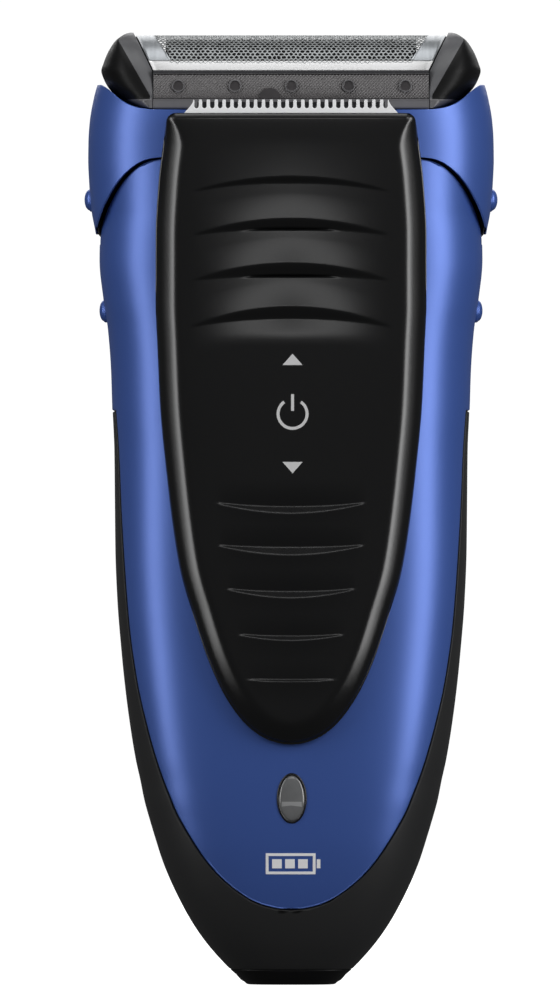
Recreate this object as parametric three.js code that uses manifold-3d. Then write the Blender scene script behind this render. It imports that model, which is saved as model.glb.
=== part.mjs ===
// Hand-held foil shaver with a slide-up long-hair trimmer, as an assembly of separate bodies.
// Units: millimetres. +Z is up (base to foil), the front face looks along -Y, +X is to the right.
// Origin: centre of the bounding box in X and Y, lowest face of the base in Z.

import * as THREE from 'three';
import { mergeVertices } from 'three/addons/utils/BufferGeometryUtils.js';
import { LoftGeometry } from 'three/addons/geometries/LoftGeometry.js';
import Module from 'manifold-3d';

const wasm = await Module();
wasm.setup();

// ---------------------------------------------------------------- driving dimensions
const WALL = 2.0;            // shell thickness
const SECTION_N = 2.8;       // superellipse exponent of the body sections
const Z_STEP = 77.4;         // height where the rear shell's side grips begin
const Y_PART = 3.6;          // parting plane between blue parts and rear shell, above Z_STEP
const SEAM = 0.3;            // running gap between neighbouring shells
const Z_PLATE = [32.6, 117.3];   // slide plate, lowest and highest point
const SLIDE_TRAVEL = 10.5;   // upward travel of the slide plate and trimmer
const Z_DECK = 118.1;        // underside of the foil cassette
const CASSETTE_Y = 1.0;      // middle of the cassette in depth
const FOIL_A = 8.2;          // half depth of the foil arch
const FOIL_Z0 = 122.0;       // springing height of the foil arch
const FOIL_H = 6.1;          // rise of the foil arch
const PIVOT = [17.0, 109.6]; // release wing pivot, distance from the middle and height
const PRESS_DEG = 2.0;       // release wing travel
const MOTOR_Y = 1.5;         // motor axis
const ECC = 1.2;             // eccentric throw
const PIN_R = 1.6;           // drive pin radius
const CELL_R = 7.0;          // battery cell radius
const CELL_Y = 3.4;          // battery cell axis in depth
const TOOTH_PITCH = 1.058;   // trimmer comb pitch
const TEETH = 26;            // trimmer comb teeth

// half width of the closed body silhouette, [height, half width]
const W_BODY = [[0, 6.0], [0.6, 6.8], [1.35, 7.45], [1.89, 8.1], [3.24, 9.45], [5.94, 11.75], [8.64, 13.57], [11.34, 15.05],
  [14.04, 16.34], [16.74, 17.42], [19.44, 18.29], [22.14, 19.1], [24.84, 19.85], [27.54, 20.39], [30.24, 20.99], [35.64, 21.87],
  [41.04, 22.55], [45.09, 22.95], [51.84, 23.49], [58.59, 23.76], [65.34, 23.83], [72.09, 23.9], [77.3, 24.15], [82.89, 24.3],
  [88.29, 24.71], [92.34, 25.31], [97.74, 25.85], [100.44, 25.8]];
// half width of the release wings and of the rear shell beside them
const W_HEAD = [[100.4, 26.2], [101.79, 26.45], [104.5, 26.95], [108.54, 27.27], [111.24, 27.4], [113.94, 27.34], [116.64, 27.14],
  [119.34, 26.66], [120.69, 26.33], [122.5, 25.7]];
// front and rear half depth of the body
const D_FRONT = [[0, 5.0], [0.6, 5.8], [1.35, 6.4], [1.89, 6.8], [3.24, 7.7], [5.94, 9.2], [10, 10.8], [14, 11.9], [20, 13.0], [30, 13.9], [40, 14.3], [60, 14.5], [122.5, 14.5]];
const D_REAR = [[0, 5.0], [0.6, 5.9], [1.35, 6.6], [1.89, 7.0], [3.24, 8.0], [5.94, 9.8], [10, 11.4], [14, 12.6], [20, 13.9], [30, 15.1], [45, 16.1],
  [60, 16.5], [75, 16.2], [86, 15.9], [95, 16.0], [105, 16.45], [112, 16.66], [122.5, 16.66]];
// half width of the blue front housing where it meets the rear shell, below Z_STEP
const W_BLUE = [[10.3, 0], [11.34, 4.93], [13.37, 8.1], [15.39, 10.26], [17.42, 11.88], [19.44, 13.23], [21.47, 14.45], [23.49, 15.53],
  [25.5, 16.34], [27.54, 17.15], [31.6, 18.5], [35.64, 19.58], [39.7, 20.52], [43.7, 21.2], [47.8, 21.74], [55.9, 22.4], [64, 22.88],
  [72.1, 23.22], [Z_STEP, 23.6]];
// half width of the slide plate
const W_PLATE = [[32.6, 0.9], [33.6, 4.2], [35.64, 6.5], [37.67, 8.05], [39.7, 9.25], [43.74, 11.07], [49.8, 13.1], [55.9, 14.45], [62, 15.72],
  [70, 16.81], [78, 17.6], [86, 17.96], [92, 18.22], [100.4, 18.2], [108, 17.8], [113.4, 17.2], [116.2, 16.8], [117.3, 16.0]];

// ---------------------------------------------------------------- helpers
const lerp = (t, z) => {
  if (z <= t[0][0]) return t[0][1];
  for (let i = 1; i < t.length; i++) {
    if (z <= t[i][0]) return t[i - 1][1] + (t[i][1] - t[i - 1][1]) * (z - t[i - 1][0]) / (t[i][0] - t[i - 1][0]);
  }
  return t[t.length - 1][1];
};
const unit = (a) => Math.max(0, 1 - Math.pow(Math.min(1, Math.abs(a)), SECTION_N)) ** (1 / SECTION_N);
const solid = (geometry) => {
  const g = new THREE.BufferGeometry();
  g.setAttribute('position', geometry.attributes.position);
  if (geometry.index) g.setIndex(geometry.index);
  const m = mergeVertices(g, 1e-5);
  return new wasm.Manifold(new wasm.Mesh({
    numProp: 3, vertProperties: new Float32Array(m.attributes.position.array), triVerts: new Uint32Array(m.index.array),
  }));
};
const geometryOf = (manifold) => {
  const m = manifold.getMesh();
  const g = new THREE.BufferGeometry();
  g.setAttribute('position', new THREE.BufferAttribute(new Float32Array(m.vertProperties), 3));
  g.setIndex(new THREE.BufferAttribute(new Uint32Array(m.triVerts), 1));
  g.computeVertexNormals();
  return g;
};
const box = (x0, x1, y0, y1, z0, z1) => new THREE.BoxGeometry(x1 - x0, y1 - y0, z1 - z0)
  .translate((x0 + x1) / 2, (y0 + y1) / 2, (z0 + z1) / 2);
const cyl = (axis, r, a0, a1, u, v, seg = 16, r2 = r) => { // axis 'x','y','z'; u,v are the other two coordinates in order
  const g = new THREE.CylinderGeometry(r2, r, a1 - a0, seg);
  if (axis === 'z') g.rotateX(Math.PI / 2).translate(u, v, (a0 + a1) / 2);
  if (axis === 'y') g.translate(u, (a0 + a1) / 2, v);
  if (axis === 'x') g.rotateZ(-Math.PI / 2).translate((a0 + a1) / 2, u, v);
  return g;
};
const shapeOf = (pts) => new THREE.Shape(pts.map(([a, b]) => new THREE.Vector2(a, b)));
const flat = { bevelEnabled: false, steps: 1 };
const alongY = (pts, y0, y1) => new THREE.ExtrudeGeometry(shapeOf(pts), { ...flat, depth: y1 - y0 }).rotateX(Math.PI / 2).translate(0, y1, 0);
const alongZ = (pts, z0, z1) => new THREE.ExtrudeGeometry(shapeOf(pts), { ...flat, depth: z1 - z0 }).translate(0, 0, z0);
const alongX = (pts, x0, x1) => new THREE.ExtrudeGeometry(shapeOf(pts), { ...flat, depth: x1 - x0 })
  .applyMatrix4(new THREE.Matrix4().set(0, 0, 1, x0, 1, 0, 0, 0, 0, 1, 0, 0, 0, 0, 0, 1));
const lathe = (pts, x, y, seg = 20) => new THREE.LatheGeometry(pts.map(([r, z]) => new THREE.Vector2(r, z)), seg)
  .rotateX(Math.PI / 2).translate(x, y, 0);
const mirrorX = (pts) => pts.map(([x, z]) => [-x, z]).reverse();
const both = (pts) => [...pts, ...mirrorX(pts)];
const ellipse = (cx, cz, a, b, n) => Array.from({ length: n }, (_, i) => [cx + a * Math.cos(2 * Math.PI * i / n), cz + b * Math.sin(2 * Math.PI * i / n)]);
const section = (z, w, df, dr, n) => Array.from({ length: n }, (_, i) => {
  const t = 2 * Math.PI * (i + 0.5) / n;
  const c = Math.cos(t), s = Math.sin(t);
  const k = 2 / SECTION_N;
  return new THREE.Vector3(w * Math.sign(c) * Math.abs(c) ** k, (s < 0 ? df : dr) * Math.sign(s) * Math.abs(s) ** k, z);
});
const loft = (levels, widths, inset, n) => new LoftGeometry(
  levels.map((z) => section(z, lerp(widths, z) - inset, lerp(D_FRONT, z) - inset, lerp(D_REAR, z) - inset, n)),
  { closed: true, capStart: true, capEnd: true });
const coil = (axis, r, wire, turns, a0, a1, u, v, perTurn = 10, sides = 5) => {
  const pts = [];
  const n = Math.round(turns * perTurn);
  for (let i = 0; i <= n; i++) {
    const t = 2 * Math.PI * i / perTurn, h = a0 + (a1 - a0) * i / n;
    if (axis === 'z') pts.push(new THREE.Vector3(u + r * Math.cos(t), v + r * Math.sin(t), h));
    else pts.push(new THREE.Vector3(u + r * Math.cos(t), h, v + r * Math.sin(t)));
  }
  const s = new THREE.Shape(Array.from({ length: sides }, (_, i) => new THREE.Vector2(wire * Math.cos(2 * Math.PI * i / sides), wire * Math.sin(2 * Math.PI * i / sides))));
  return new THREE.ExtrudeGeometry(s, { bevelEnabled: false, steps: n, extrudePath: new THREE.CatmullRomCurve3(pts) });
};

// ---------------------------------------------------------------- materials
const paint = (color, roughness, metalness = 0) => new THREE.MeshStandardMaterial({ color, roughness, metalness });
const BLUE = paint(0x2f4f9c, 0.32, 0.35);
const SOFT_BLACK = paint(0x17181a, 0.62);
const GLOSS_BLACK = paint(0x0d0e0f, 0.28);
const SMOKE = paint(0x3b3d42, 0.3);
const STEEL = paint(0xc9ccd1, 0.28, 1.0);
const DARK_STEEL = paint(0x6a6d72, 0.35, 1.0);
const IVORY = paint(0xe2e3e6, 0.4, 0.3);
const LENS = paint(0x6f7276, 0.12);
const WHITE_PLASTIC = paint(0xd9d8d2, 0.5);
const RUBBER = paint(0x1c1c1e, 0.85);
const BOARD = paint(0x1f5a34, 0.5);
const BRASS = paint(0xb48a3c, 0.35, 1.0);
const CELL = paint(0x2a7a4b, 0.45);
const LED = paint(0x9fe0a0, 0.2);

const group = new THREE.Group();
const add = (name, geometry, material) => {
  const mesh = new THREE.Mesh(geometry, material);
  mesh.name = name;
  group.add(mesh);
  return mesh;
};

// ---------------------------------------------------------------- body shells
const outerLevels = [2.3, 3.24, 5.94, 8.64, 11.34, 14.04, 17.4, 21, 25, 30.24, 36, 43, 52, 62, 72, 77.3, 85, 92.34, 97.74];
const outerHousing = solid(loft([...outerLevels, 106, 113], W_BODY, 0, 32));
const rearLevels = [...outerLevels, 99.6, 100.6, 101.79, 104.5, 108.54, 113.94, 117.6];
const W_REAR = [...W_BODY.filter(([z]) => z < 99), [99.6, 25.85], [100.6, 26.2], ...W_HEAD.filter(([z]) => z > 101)];
const outerRear = solid(loft(rearLevels, W_REAR, 0, 32));
const innerShell = solid(loft([1.9, 5.94, 11.34, 17.4, 25, 36, 52, 72, 92.34, 100, 121], W_BODY, WALL, 28));
const innerRear = solid(loft([1.9, 5.94, 11.34, 17.4, 25, 36, 52, 72, 92.34, 100, 104.5, 121], W_BODY.concat([[104.5, 26.0]]), WALL, 28));

// region in front of the parting line, grown by g
const blueOutline = (g) => {
  const side = W_BLUE.map(([z, w]) => [Math.max(w, 0.6) + g, z]);
  side[0][1] -= g;
  side[side.length - 1][1] = Z_STEP - g;
  return both(side);
};
const frontRegion = (g) => {
  const low = solid(alongY(blueOutline(g), -30, 2))
    .subtract(solid(alongX([[-4 + g, Z_STEP + 2], [-7.6 + g, 8], [10, 8], [10, Z_STEP + 2]], -40, 40)));
  const high = solid(box(-40, 40, -30, Y_PART + g, Z_STEP - g, 140));
  return low.add(high);
};
// shoulder of the front housing under the release wings, [x, z] for the right side
const SHOULDER = [[25.75, 99.9], [25.7, 101.5], [25.4, 102.6], [25.1, 103.7], [24.65, 104.8], [24.15, 105.8], [23.55, 106.9], [22.85, 108.0],
  [21.95, 109.1], [20.7, 110.2], [18.7, 111.05], [17.1, 111.2], [13.5, 111.2]];
const belowShoulder = solid(alongY([...mirrorX([[40, 0], [40, 99.9], ...SHOULDER]), ...[[40, 0], [40, 99.9], ...SHOULDER]].filter((p, i, a) => i === 0 || p[0] !== a[i - 1][0] || p[1] !== a[i - 1][1]), -30, 30));

const LED_Z = 25.25;
const pip = (z, x0, out) => solid(new THREE.SphereGeometry(1.425, 12, 8).scale(out / 1.425, 1, 1).translate(x0, 0, z));
let front = outerHousing.subtract(innerShell).intersect(frontRegion(0)).intersect(belowShoulder);
front = front.subtract(solid(box(-15, 15, -20, 0, 99, 130)))                       // trimmer channel
  .subtract(solid(box(-3.4, 3.4, -20, 0, 63.4, 91.4)))                             // slot for the slide carrier
  .subtract(solid(alongY(ellipse(0, LED_Z, 2.15, 3.53, 16), -20, 0)))             // charge window
  .add(pip(90.9, 25.1, 0.85)).add(pip(90.9, 25.1, 0.85).mirror([1, 0, 0]));
add('front_housing', geometryOf(front), BLUE);

const SCREWS = [[-12, 17.5], [12, 17.5], [-14, 88], [14, 88]];
const rearSurface = (x, z) => lerp(D_REAR, z) * unit(x / lerp(W_REAR, z));
const frontSurface = (x, z) => -lerp(D_FRONT, z) * unit(x / lerp(W_BODY, z));
let rear = outerRear.subtract(innerRear).subtract(frontRegion(SEAM));
for (const [x, z] of SCREWS) {
  const y = rearSurface(x, z);
  rear = rear.subtract(solid(cyl('y', 2.7, y - 1.0, y + 6, x, z, 12))).subtract(solid(cyl('y', 1.6, y - 8, y + 6, x, z, 10)));
}
add('rear_housing', geometryOf(rear), SOFT_BLACK);
SCREWS.forEach(([x, z], i) => {
  const y = rearSurface(x, z);
  const head = solid(cyl('y', 2.4, y - 0.8, y - 0.2, x, z, 12)).add(solid(cyl('y', 1.2, y - 6.5, y - 0.7, x, z, 8)))
    .subtract(solid(box(x - 1.6, x + 1.6, y - 0.55, y + 1, z - 0.3, z + 0.3)))
    .subtract(solid(box(x - 0.3, x + 0.3, y - 0.55, y + 1, z - 1.6, z + 1.6)));
  add(`rear_screw_${i + 1}`, geometryOf(head), DARK_STEEL);
});

// base cap with the power socket
let base = solid(loft([0, 0.6, 1.35, 2.0], W_BODY, 0, 32)).add(solid(alongZ([[-5.6, -2.8], [-4.6, -4.0], [4.6, -4.0], [5.6, -2.8], [5.6, 2.8], [4.6, 4.0], [-4.6, 4.0], [-5.6, 2.8]], 1.5, 11.2)))
  .subtract(solid(box(-4.5, 4.5, -2.9, 2.9, -1, 9.4)));
for (const s of [-1, 1]) base = base.subtract(solid(cyl('z', 1.1, 8, 13, s * 2, 0, 10)));
add('base_socket', geometryOf(base), GLOSS_BLACK);
for (const [s, name] of [[-1, 'inlet_pin_left'], [1, 'inlet_pin_right']]) {
  add(name, lathe([[0, 4.2], [0.5, 4.2], [0.8, 4.6], [0.8, 13.4], [0, 13.4]], s * 2, 0, 10), BRASS);
}

// charge window and its lamp
const lensY = frontSurface(0, LED_Z);
add('charge_window', geometryOf(solid(alongY(ellipse(0, LED_Z, 1.85, 3.23, 20), lensY - 0.25, lensY + 1.6))), LENS);
add('charge_lamp', cyl('y', 1.2, -10.9, -9.0, 0, LED_Z, 10), LED);

// ---------------------------------------------------------------- power train on the chassis
const spine = [[-9, 11.0], [9, 11.0], [9, 12.2], [-9, 12.2]];
const shelf = (z0, z1, w) => solid(alongZ([[-w, -6], [w, -6], [w, 7.5], [9, 12.2], [-9, 12.2], [-w, 7.5]], z0, z1));
let chassis = solid(alongZ(spine, 36, 103)).add(shelf(84.7, 86.0, 16));
chassis = chassis.add(solid(alongZ([[-9, 4], [9, 4], [9, 12.2], [-9, 12.2]], 36, 37.6)));
add('chassis', geometryOf(chassis), WHITE_PLASTIC);

add('circuit_board', geometryOf(solid(box(-12, 12, -8.6, -7.4, 24, 82)).subtract(solid(box(6, 14, -10, -6, 76, 84)))), BOARD);
add('charge_coil', geometryOf(solid(box(-6, 6, -7.1, 1.5, 23.5, 31.5)).add(solid(box(-3.2, 3.2, -6.2, 2.6, 22.7, 32.3)))), BRASS);
add('power_switch', geometryOf(solid(box(-4, 4, -9.9, -8.9, 62, 78)).subtract(solid(box(-1.2, 1.2, -11, -9.4, 63.5, 76.9)))), GLOSS_BLACK);
for (const [s, name] of [[-1, 'battery_left'], [1, 'battery_right']]) {
  add(name, lathe([[0, 38.2], [CELL_R, 38.2], [CELL_R, 81.7], [CELL_R - 0.7, 82.3], [2.6, 82.3], [2.6, 83.2], [0, 83.2]], s * 7.3, CELL_Y, 20), CELL);
}
add('battery_strap', box(-8.6, 8.6, 1.2, 5.6, 83.5, 83.9), STEEL);

add('motor_can', lathe([[0, 86.4], [9, 86.4], [9, 102.6], [8.4, 103.2], [3.6, 103.2], [3.6, 98], [0, 98]], 0, MOTOR_Y, 24), DARK_STEEL);
add('motor_end_cap', lathe([[1.5, 103.5], [8.2, 103.5], [8.2, 104.3], [3.4, 104.3], [3.4, 105.6], [1.5, 105.6], [1.5, 103.5]], 0, MOTOR_Y, 20), WHITE_PLASTIC);
add('motor_shaft', lathe([[0, 98.5], [3.0, 98.5], [3.0, 102.6], [1.0, 102.6], [1.0, 107.1], [0, 107.1]], 0, MOTOR_Y, 14), STEEL);
add('eccentric', geometryOf(solid(cyl('z', 3.0, 107.4, 109.2, 0, MOTOR_Y, 18)).add(solid(cyl('z', 1.0, 109.0, 112.3, ECC, MOTOR_Y, 12)))), BRASS);

// ---------------------------------------------------------------- head frame, bridge and cutter
const Y0 = CASSETTE_Y;
const frameOut = [[-14.4, -11.2], [14.4, -11.2], [14.4, 12.6], [-14.4, 12.6]];
let head = solid(alongZ(frameOut, 105.9, 117.6));
head = head.subtract(solid(box(-12.8, 12.8, -9.6, 11.0, 104, 115.9)))
  .subtract(solid(box(-5.6, 5.6, Y0 - 4.4, Y0 + 4.4, 110, 120)));
for (const s of [-1, 1]) {
  const px = s * PIVOT[0];
  for (const [a, b] of [[-9.3, -8.0], [6.0, 7.4]]) {
    const lug = solid(box(Math.min(s * 14, s * 17), Math.max(s * 14, s * 17), a, b, 107.8, 111.1)).add(solid(cyl('y', 1.65, a, b, px, PIVOT[1], 12)))
      .subtract(solid(cyl('y', 1.15, a - 1, b + 1, px, PIVOT[1], 10)));
    head = head.add(lug.subtract(solid(box(-14.2, 14.2, a - 1, b + 1, 100, 120))));
  }
}
add('head_frame', geometryOf(head), WHITE_PLASTIC);
for (const [s, name] of [[-1, 'release_pin_left'], [1, 'release_pin_right']]) {
  add(name, cyl('y', 0.85, -9.4, 7.6, s * PIVOT[0], PIVOT[1], 10), STEEL);
}
for (const [s, name] of [[-1, 'release_spring_left'], [1, 'release_spring_right']]) {
  add(name, coil('y', 1.45, 0.28, 3, 3.4, 5.5, s * PIVOT[0], PIVOT[1], 9, 4), STEEL);
}
add('drive_boot', geometryOf(solid(alongZ([[-7.4, Y0 - 5.6], [7.4, Y0 - 5.6], [7.4, Y0 + 5.6], [-7.4, Y0 + 5.6]], 117.75, 118.45))
  .subtract(solid(cyl('z', 4.1, 110, 125, 0, Y0, 18)))), RUBBER);
const DRIVE_WINDOW = [3.6, 2.5];
add('drive_bridge', geometryOf(solid(box(-9, 9, -4.6, 7.6, 110.3, 113.9))
  .subtract(solid(box(-DRIVE_WINDOW[0], DRIVE_WINDOW[0], MOTOR_Y - DRIVE_WINDOW[1], MOTOR_Y + DRIVE_WINDOW[1], 109, 112.8)))
  .add(solid(box(-11.3, -8.5, -3.0, 6.0, 111, 112.2))).add(solid(box(8.5, 11.3, -3.0, 6.0, 111, 112.2)))), WHITE_PLASTIC);
add('drive_pin', lathe([[0, 114.2], [2.9, 114.2], [2.9, 114.8], [PIN_R, 114.8], [PIN_R, 120.6], [1.2, 121.0], [0, 121.0]], 0, Y0, 14), STEEL);
add('cutter_spring', coil('z', 2.35, 0.26, 3.5, 115.2, 119.2, 0, Y0, 9, 4), STEEL);
let carrier = solid(box(-16.2, 16.2, Y0 - 5.4, Y0 + 5.4, 119.6, 120.7)).add(solid(cyl('z', 3.0, 119.6, 122.6, 0, Y0, 14)))
  .subtract(solid(cyl('z', 1.95, 119, 122.1, 0, Y0, 12)));
add('cutter_carrier', geometryOf(carrier), WHITE_PLASTIC);
const FINS = 19, FIN_PITCH = 1.72, FIN_T = 0.5;
const arch = (a, h, z0, n, x0, x1, y = Y0) => {
  const pts = Array.from({ length: n + 1 }, (_, i) => [y + a * Math.cos(Math.PI * i / n), z0 + h * Math.sin(Math.PI * i / n)]);
  return alongX(pts, x0, x1);
};
let cutter = solid(box(-16.2, 16.2, Y0 - 7.3, Y0 - 5.8, 120.9, 122.0)).add(solid(box(-16.2, 16.2, Y0 + 5.8, Y0 + 7.3, 120.9, 122.0)));
const finPts = [];
for (let i = 0; i <= 12; i++) finPts.push([Y0 + 7.3 * Math.cos(Math.PI * i / 12), 121.6 + 5.75 * Math.sin(Math.PI * i / 12)]);
for (let i = 8; i >= 0; i--) finPts.push([Y0 + 5.9 * Math.cos(Math.PI * i / 8), 121.6 + 4.4 * Math.sin(Math.PI * i / 8)]);
for (let i = 0; i < FINS; i++) {
  const x = (i - (FINS - 1) / 2) * FIN_PITCH;
  cutter = cutter.add(solid(alongX(finPts, x - FIN_T / 2, x + FIN_T / 2)));
}
add('cutter_blades', geometryOf(cutter), STEEL);

// ---------------------------------------------------------------- foil cassette
// outline of the cassette seen from the front, right half from the middle of the lower edge to the top of the cheek
const CHEEK = [[18.8, Z_DECK], [20.9, 118.4], [23.1, 119.3], [24.7, 121.1], [25.66, 123.27], [24.87, 125.44], [23.79, 127.25], [22.15, 128.33], [21.2, 128.4]];
const SLANT = [[21.2, 128.4], [18.65, 122.9]];
const cassetteOutline = both([...CHEEK, [18.65, 122.9]]);
const profile = [[-11.5, Z_DECK], [-10.9, 120.4], [-9.9, 123.2], [-8.3, 125.4], [-6.0, 127.2], [-3.2, 128.4], [5.2, 128.4], [8.0, 127.2], [10.3, 125.4], [11.9, 123.2],
  [12.9, 120.4], [13.5, Z_DECK]];
let frame = solid(alongY(cassetteOutline, -12, 14)).intersect(solid(alongX(profile, -30, 30)))
  .intersect(solid(new LoftGeometry([117, 130].map((z) => section(z, 25.9, 11.7, 13.7, 28)), { closed: true, capStart: true, capEnd: true })));
frame = frame.subtract(solid(alongX([[-9.9, 117], [-8.2, 123.1], [10.2, 123.1], [11.9, 117]], -18.3, 18.3)))
  .subtract(solid(box(-18.3, 18.3, -8.2, 10.2, 121, 124)));
for (const s of [-1, 1]) frame = frame.subtract(solid(box(Math.min(s * 19.9, s * 22.4), Math.max(s * 19.9, s * 22.4), -7, 9, 117, 124.5)));
add('foil_frame', geometryOf(frame), SMOKE);
const foilTrim = solid(alongY([[-18.1, 120.6], [18.1, 120.6], [18.1, 122.4], [20.7, 128.6], [-20.7, 128.6], [-18.1, 122.4]], -20, 20));
const foilOut = [[Y0 + FOIL_A, 120.7]], foilIn = [[Y0 - FOIL_A + 0.3, 120.7]];
for (let i = 0; i <= 16; i++) foilOut.push([Y0 + FOIL_A * Math.cos(Math.PI * i / 16), FOIL_Z0 + FOIL_H * Math.sin(Math.PI * i / 16)]);
foilOut.push([Y0 - FOIL_A, 120.7]);
for (let i = 16; i >= 0; i--) foilIn.push([Y0 + (FOIL_A - 0.3) * Math.cos(Math.PI * i / 16), FOIL_Z0 + (FOIL_H - 0.3) * Math.sin(Math.PI * i / 16)]);
foilIn.push([Y0 + FOIL_A - 0.3, 120.7]);
const foil = solid(alongX([...foilOut, ...foilIn], -22, 22)).intersect(foilTrim);
add('shaving_foil', geometryOf(foil), STEEL);
add('foil_clamp_front', box(-17.9, 17.9, Y0 - 9.2 + 0.15, Y0 - FOIL_A - 0.3, 120.4, 122.0), DARK_STEEL);
add('foil_clamp_rear', box(-17.9, 17.9, Y0 + FOIL_A + 0.3, Y0 + 9.2 - 0.15, 120.4, 122.0), DARK_STEEL);

// ---------------------------------------------------------------- release wings
const rot = ([x, z], deg) => {
  const a = deg * Math.PI / 180, dx = x - PIVOT[0], dz = z - PIVOT[1];
  return [PIVOT[0] + dx * Math.cos(a) - dz * Math.sin(a), PIVOT[1] + dx * Math.sin(a) + dz * Math.cos(a)];
};
const offset = (pts, d) => pts.map((p, i) => { // shift an open polyline to its left
  const a = pts[Math.max(0, i - 1)], b = pts[Math.min(pts.length - 1, i + 1)];
  const l = Math.hypot(b[0] - a[0], b[1] - a[1]);
  return [p[0] + (b[1] - a[1]) / l * d, p[1] - (b[0] - a[0]) / l * d];
});
const wingUnder = offset(SHOULDER.slice(1), 0.3).map((p) => rot(p, PRESS_DEG)).filter(([x]) => x > 13.9);
const WING_TOP = [[13.9, 117.75], [18.9, 117.75], [21.0, 118.05], [23.25, 118.95], [24.5, 120.2], [25.12, 120.97], [26.2, 122.2]];
const wingOutline = [[30, 101.45], ...wingUnder, [13.9, 111.75], ...WING_TOP, [30, 122.2]];
const wingPocket = [[25.5, 110.6], [24.6, 110.4], [22.8, 112.4], [19.2, 113.5], [15.6, 113.5], [15.6, 116.1], [19.0, 116.1], [21.6, 116.6], [23.4, 117.5], [25.0, 119.0]];
const wingShell = solid(loft([100.4, 101.79, 104.5, 108.54, 111.24, 113.94, 116.64, 119.34, 121.4], W_HEAD, 0, 32));
const wingInner = solid(loft([99, 104.5, 111.24, 116.64, 125], W_HEAD, 1.8, 28));
for (const [s, name] of [[-1, 'release_button_left'], [1, 'release_button_right']]) {
  const m = (pts) => (s > 0 ? pts : mirrorX(pts));
  const px = s * PIVOT[0];
  const bx = (a, b, ...r) => solid(box(Math.min(s * a, s * b), Math.max(s * a, s * b), ...r));
  let wing = wingShell.intersect(solid(alongY(m(wingOutline), -20, Y_PART)));
  wing = wing.subtract(solid(alongY(m(wingPocket), -20, 10)).intersect(wingInner))
    .subtract(bx(0, 15.1, -11.7, 10, 100, 130));
  wing = wing.add(bx(15.7, 18.3, -7.6, 2.6, 110.2, 112.6)).add(solid(cyl('y', 1.7, -7.6, 2.6, px, PIVOT[1], 12)))
    .subtract(solid(cyl('y', 1.15, -10, 4, px, PIVOT[1], 10)));
  wing = wing.add(s > 0 ? pip(105.85, 26.95, 0.95) : pip(105.85, 26.95, 0.95).mirror([1, 0, 0]));
  add(name, geometryOf(wing), BLUE);
}

// ---------------------------------------------------------------- slide plate and trimmer
const plateFace = (x) => -16.6 * unit(x / 30);
const plateBack = (x, z) => Math.min(-0.5, -lerp(D_FRONT, Math.min(122, z + SLIDE_TRAVEL)) * unit(x / lerp(W_REAR, Math.min(122, z + SLIDE_TRAVEL))) - 0.35);
const plateLevels = [32.6, 33.6, 35.64, 37.67, 39.7, 43.74, 49.8, 55.9, 62, 70, 78, 86, 92, 100.4, 108, 113.4, 116.2, 117.3];
const PN = 11;
const plate = new LoftGeometry(plateLevels.map((z) => {
  const h = lerp(W_PLATE, z), out = [], back = [];
  const d = z < 40 ? 0.6 * (1 - (z - 32.6) / 7.4) ** 2 : (z > 116 ? 0.3 * (z - 116) / 1.3 : 0);
  for (let i = 0; i < PN; i++) {
    const u = -1 + 2 * i / (PN - 1), x = h * Math.sign(u) * (1 - (1 - Math.abs(u)) ** 1.6), e = 0.9 * Math.abs(u) ** 10;
    out.push(new THREE.Vector3(x, plateFace(x) + d + e + 0.05 * u * u, z));
    back.push(new THREE.Vector3(x * 0.985, plateBack(x * 0.985, z) + 0.05 * u * u, z));
  }
  return [...out, ...back.reverse()];
}), { closed: true, capStart: true, capEnd: true });
add('switch_plate', geometryOf(solid(plate).subtract(solid(box(-14.8, 14.8, -15.0, -10, 101.2, 118)))), GLOSS_BLACK);

let slider = solid(box(-2.9, 2.9, -14.35, -11.6, 64, 80.3)).add(solid(box(-6.5, 6.5, -12.0, -10.7, 66, 78)));
slider = slider.add(solid(box(-0.8, 0.8, -10.9, -9.7, 64.2, 65.8))).add(solid(box(-2.0, 2.0, -12.0, -10.7, 64, 67)));
add('switch_carrier', geometryOf(slider), WHITE_PLASTIC);

const combTeeth = (half, z0, zRoot, zTip, pitch, n, gap, y0, y1) => {
  const pts = [[-half, z0], [half, z0], [half, zRoot + 0.3]];
  for (let i = 0; i < n; i++) {
    const c = (n - 1) / 2 * pitch - i * pitch;
    pts.push([c + (pitch - gap) / 2, zRoot], [c + (pitch - gap) / 2 - 0.08, zTip], [c - (pitch - gap) / 2 + 0.08, zTip], [c - (pitch - gap) / 2, zRoot]);
  }
  pts.push([-half, zRoot + 0.3]);
  return alongY(pts, y0, y1);
};
add('trimmer_comb', combTeeth(14.4, 106, 117.9, 119.15, TOOTH_PITCH, TEETH, 0.5, -14.55, -14.15), IVORY);
add('trimmer_blade', combTeeth(12.6, 108.5, 117.7, 118.95, TOOTH_PITCH, 23, 0.5, -13.95, -13.6), DARK_STEEL);
add('trimmer_holder', geometryOf(solid(box(-12.6, 12.6, -13.4, -12.3, 101.5, 116.8)).add(solid(box(-4, 4, -14.35, -13.3, 101.5, 105.6)))), SMOKE);
add('trimmer_spring', box(-5, 5, -13.95, -13.6, 106.4, 108.1), STEEL);

export default group;
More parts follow.
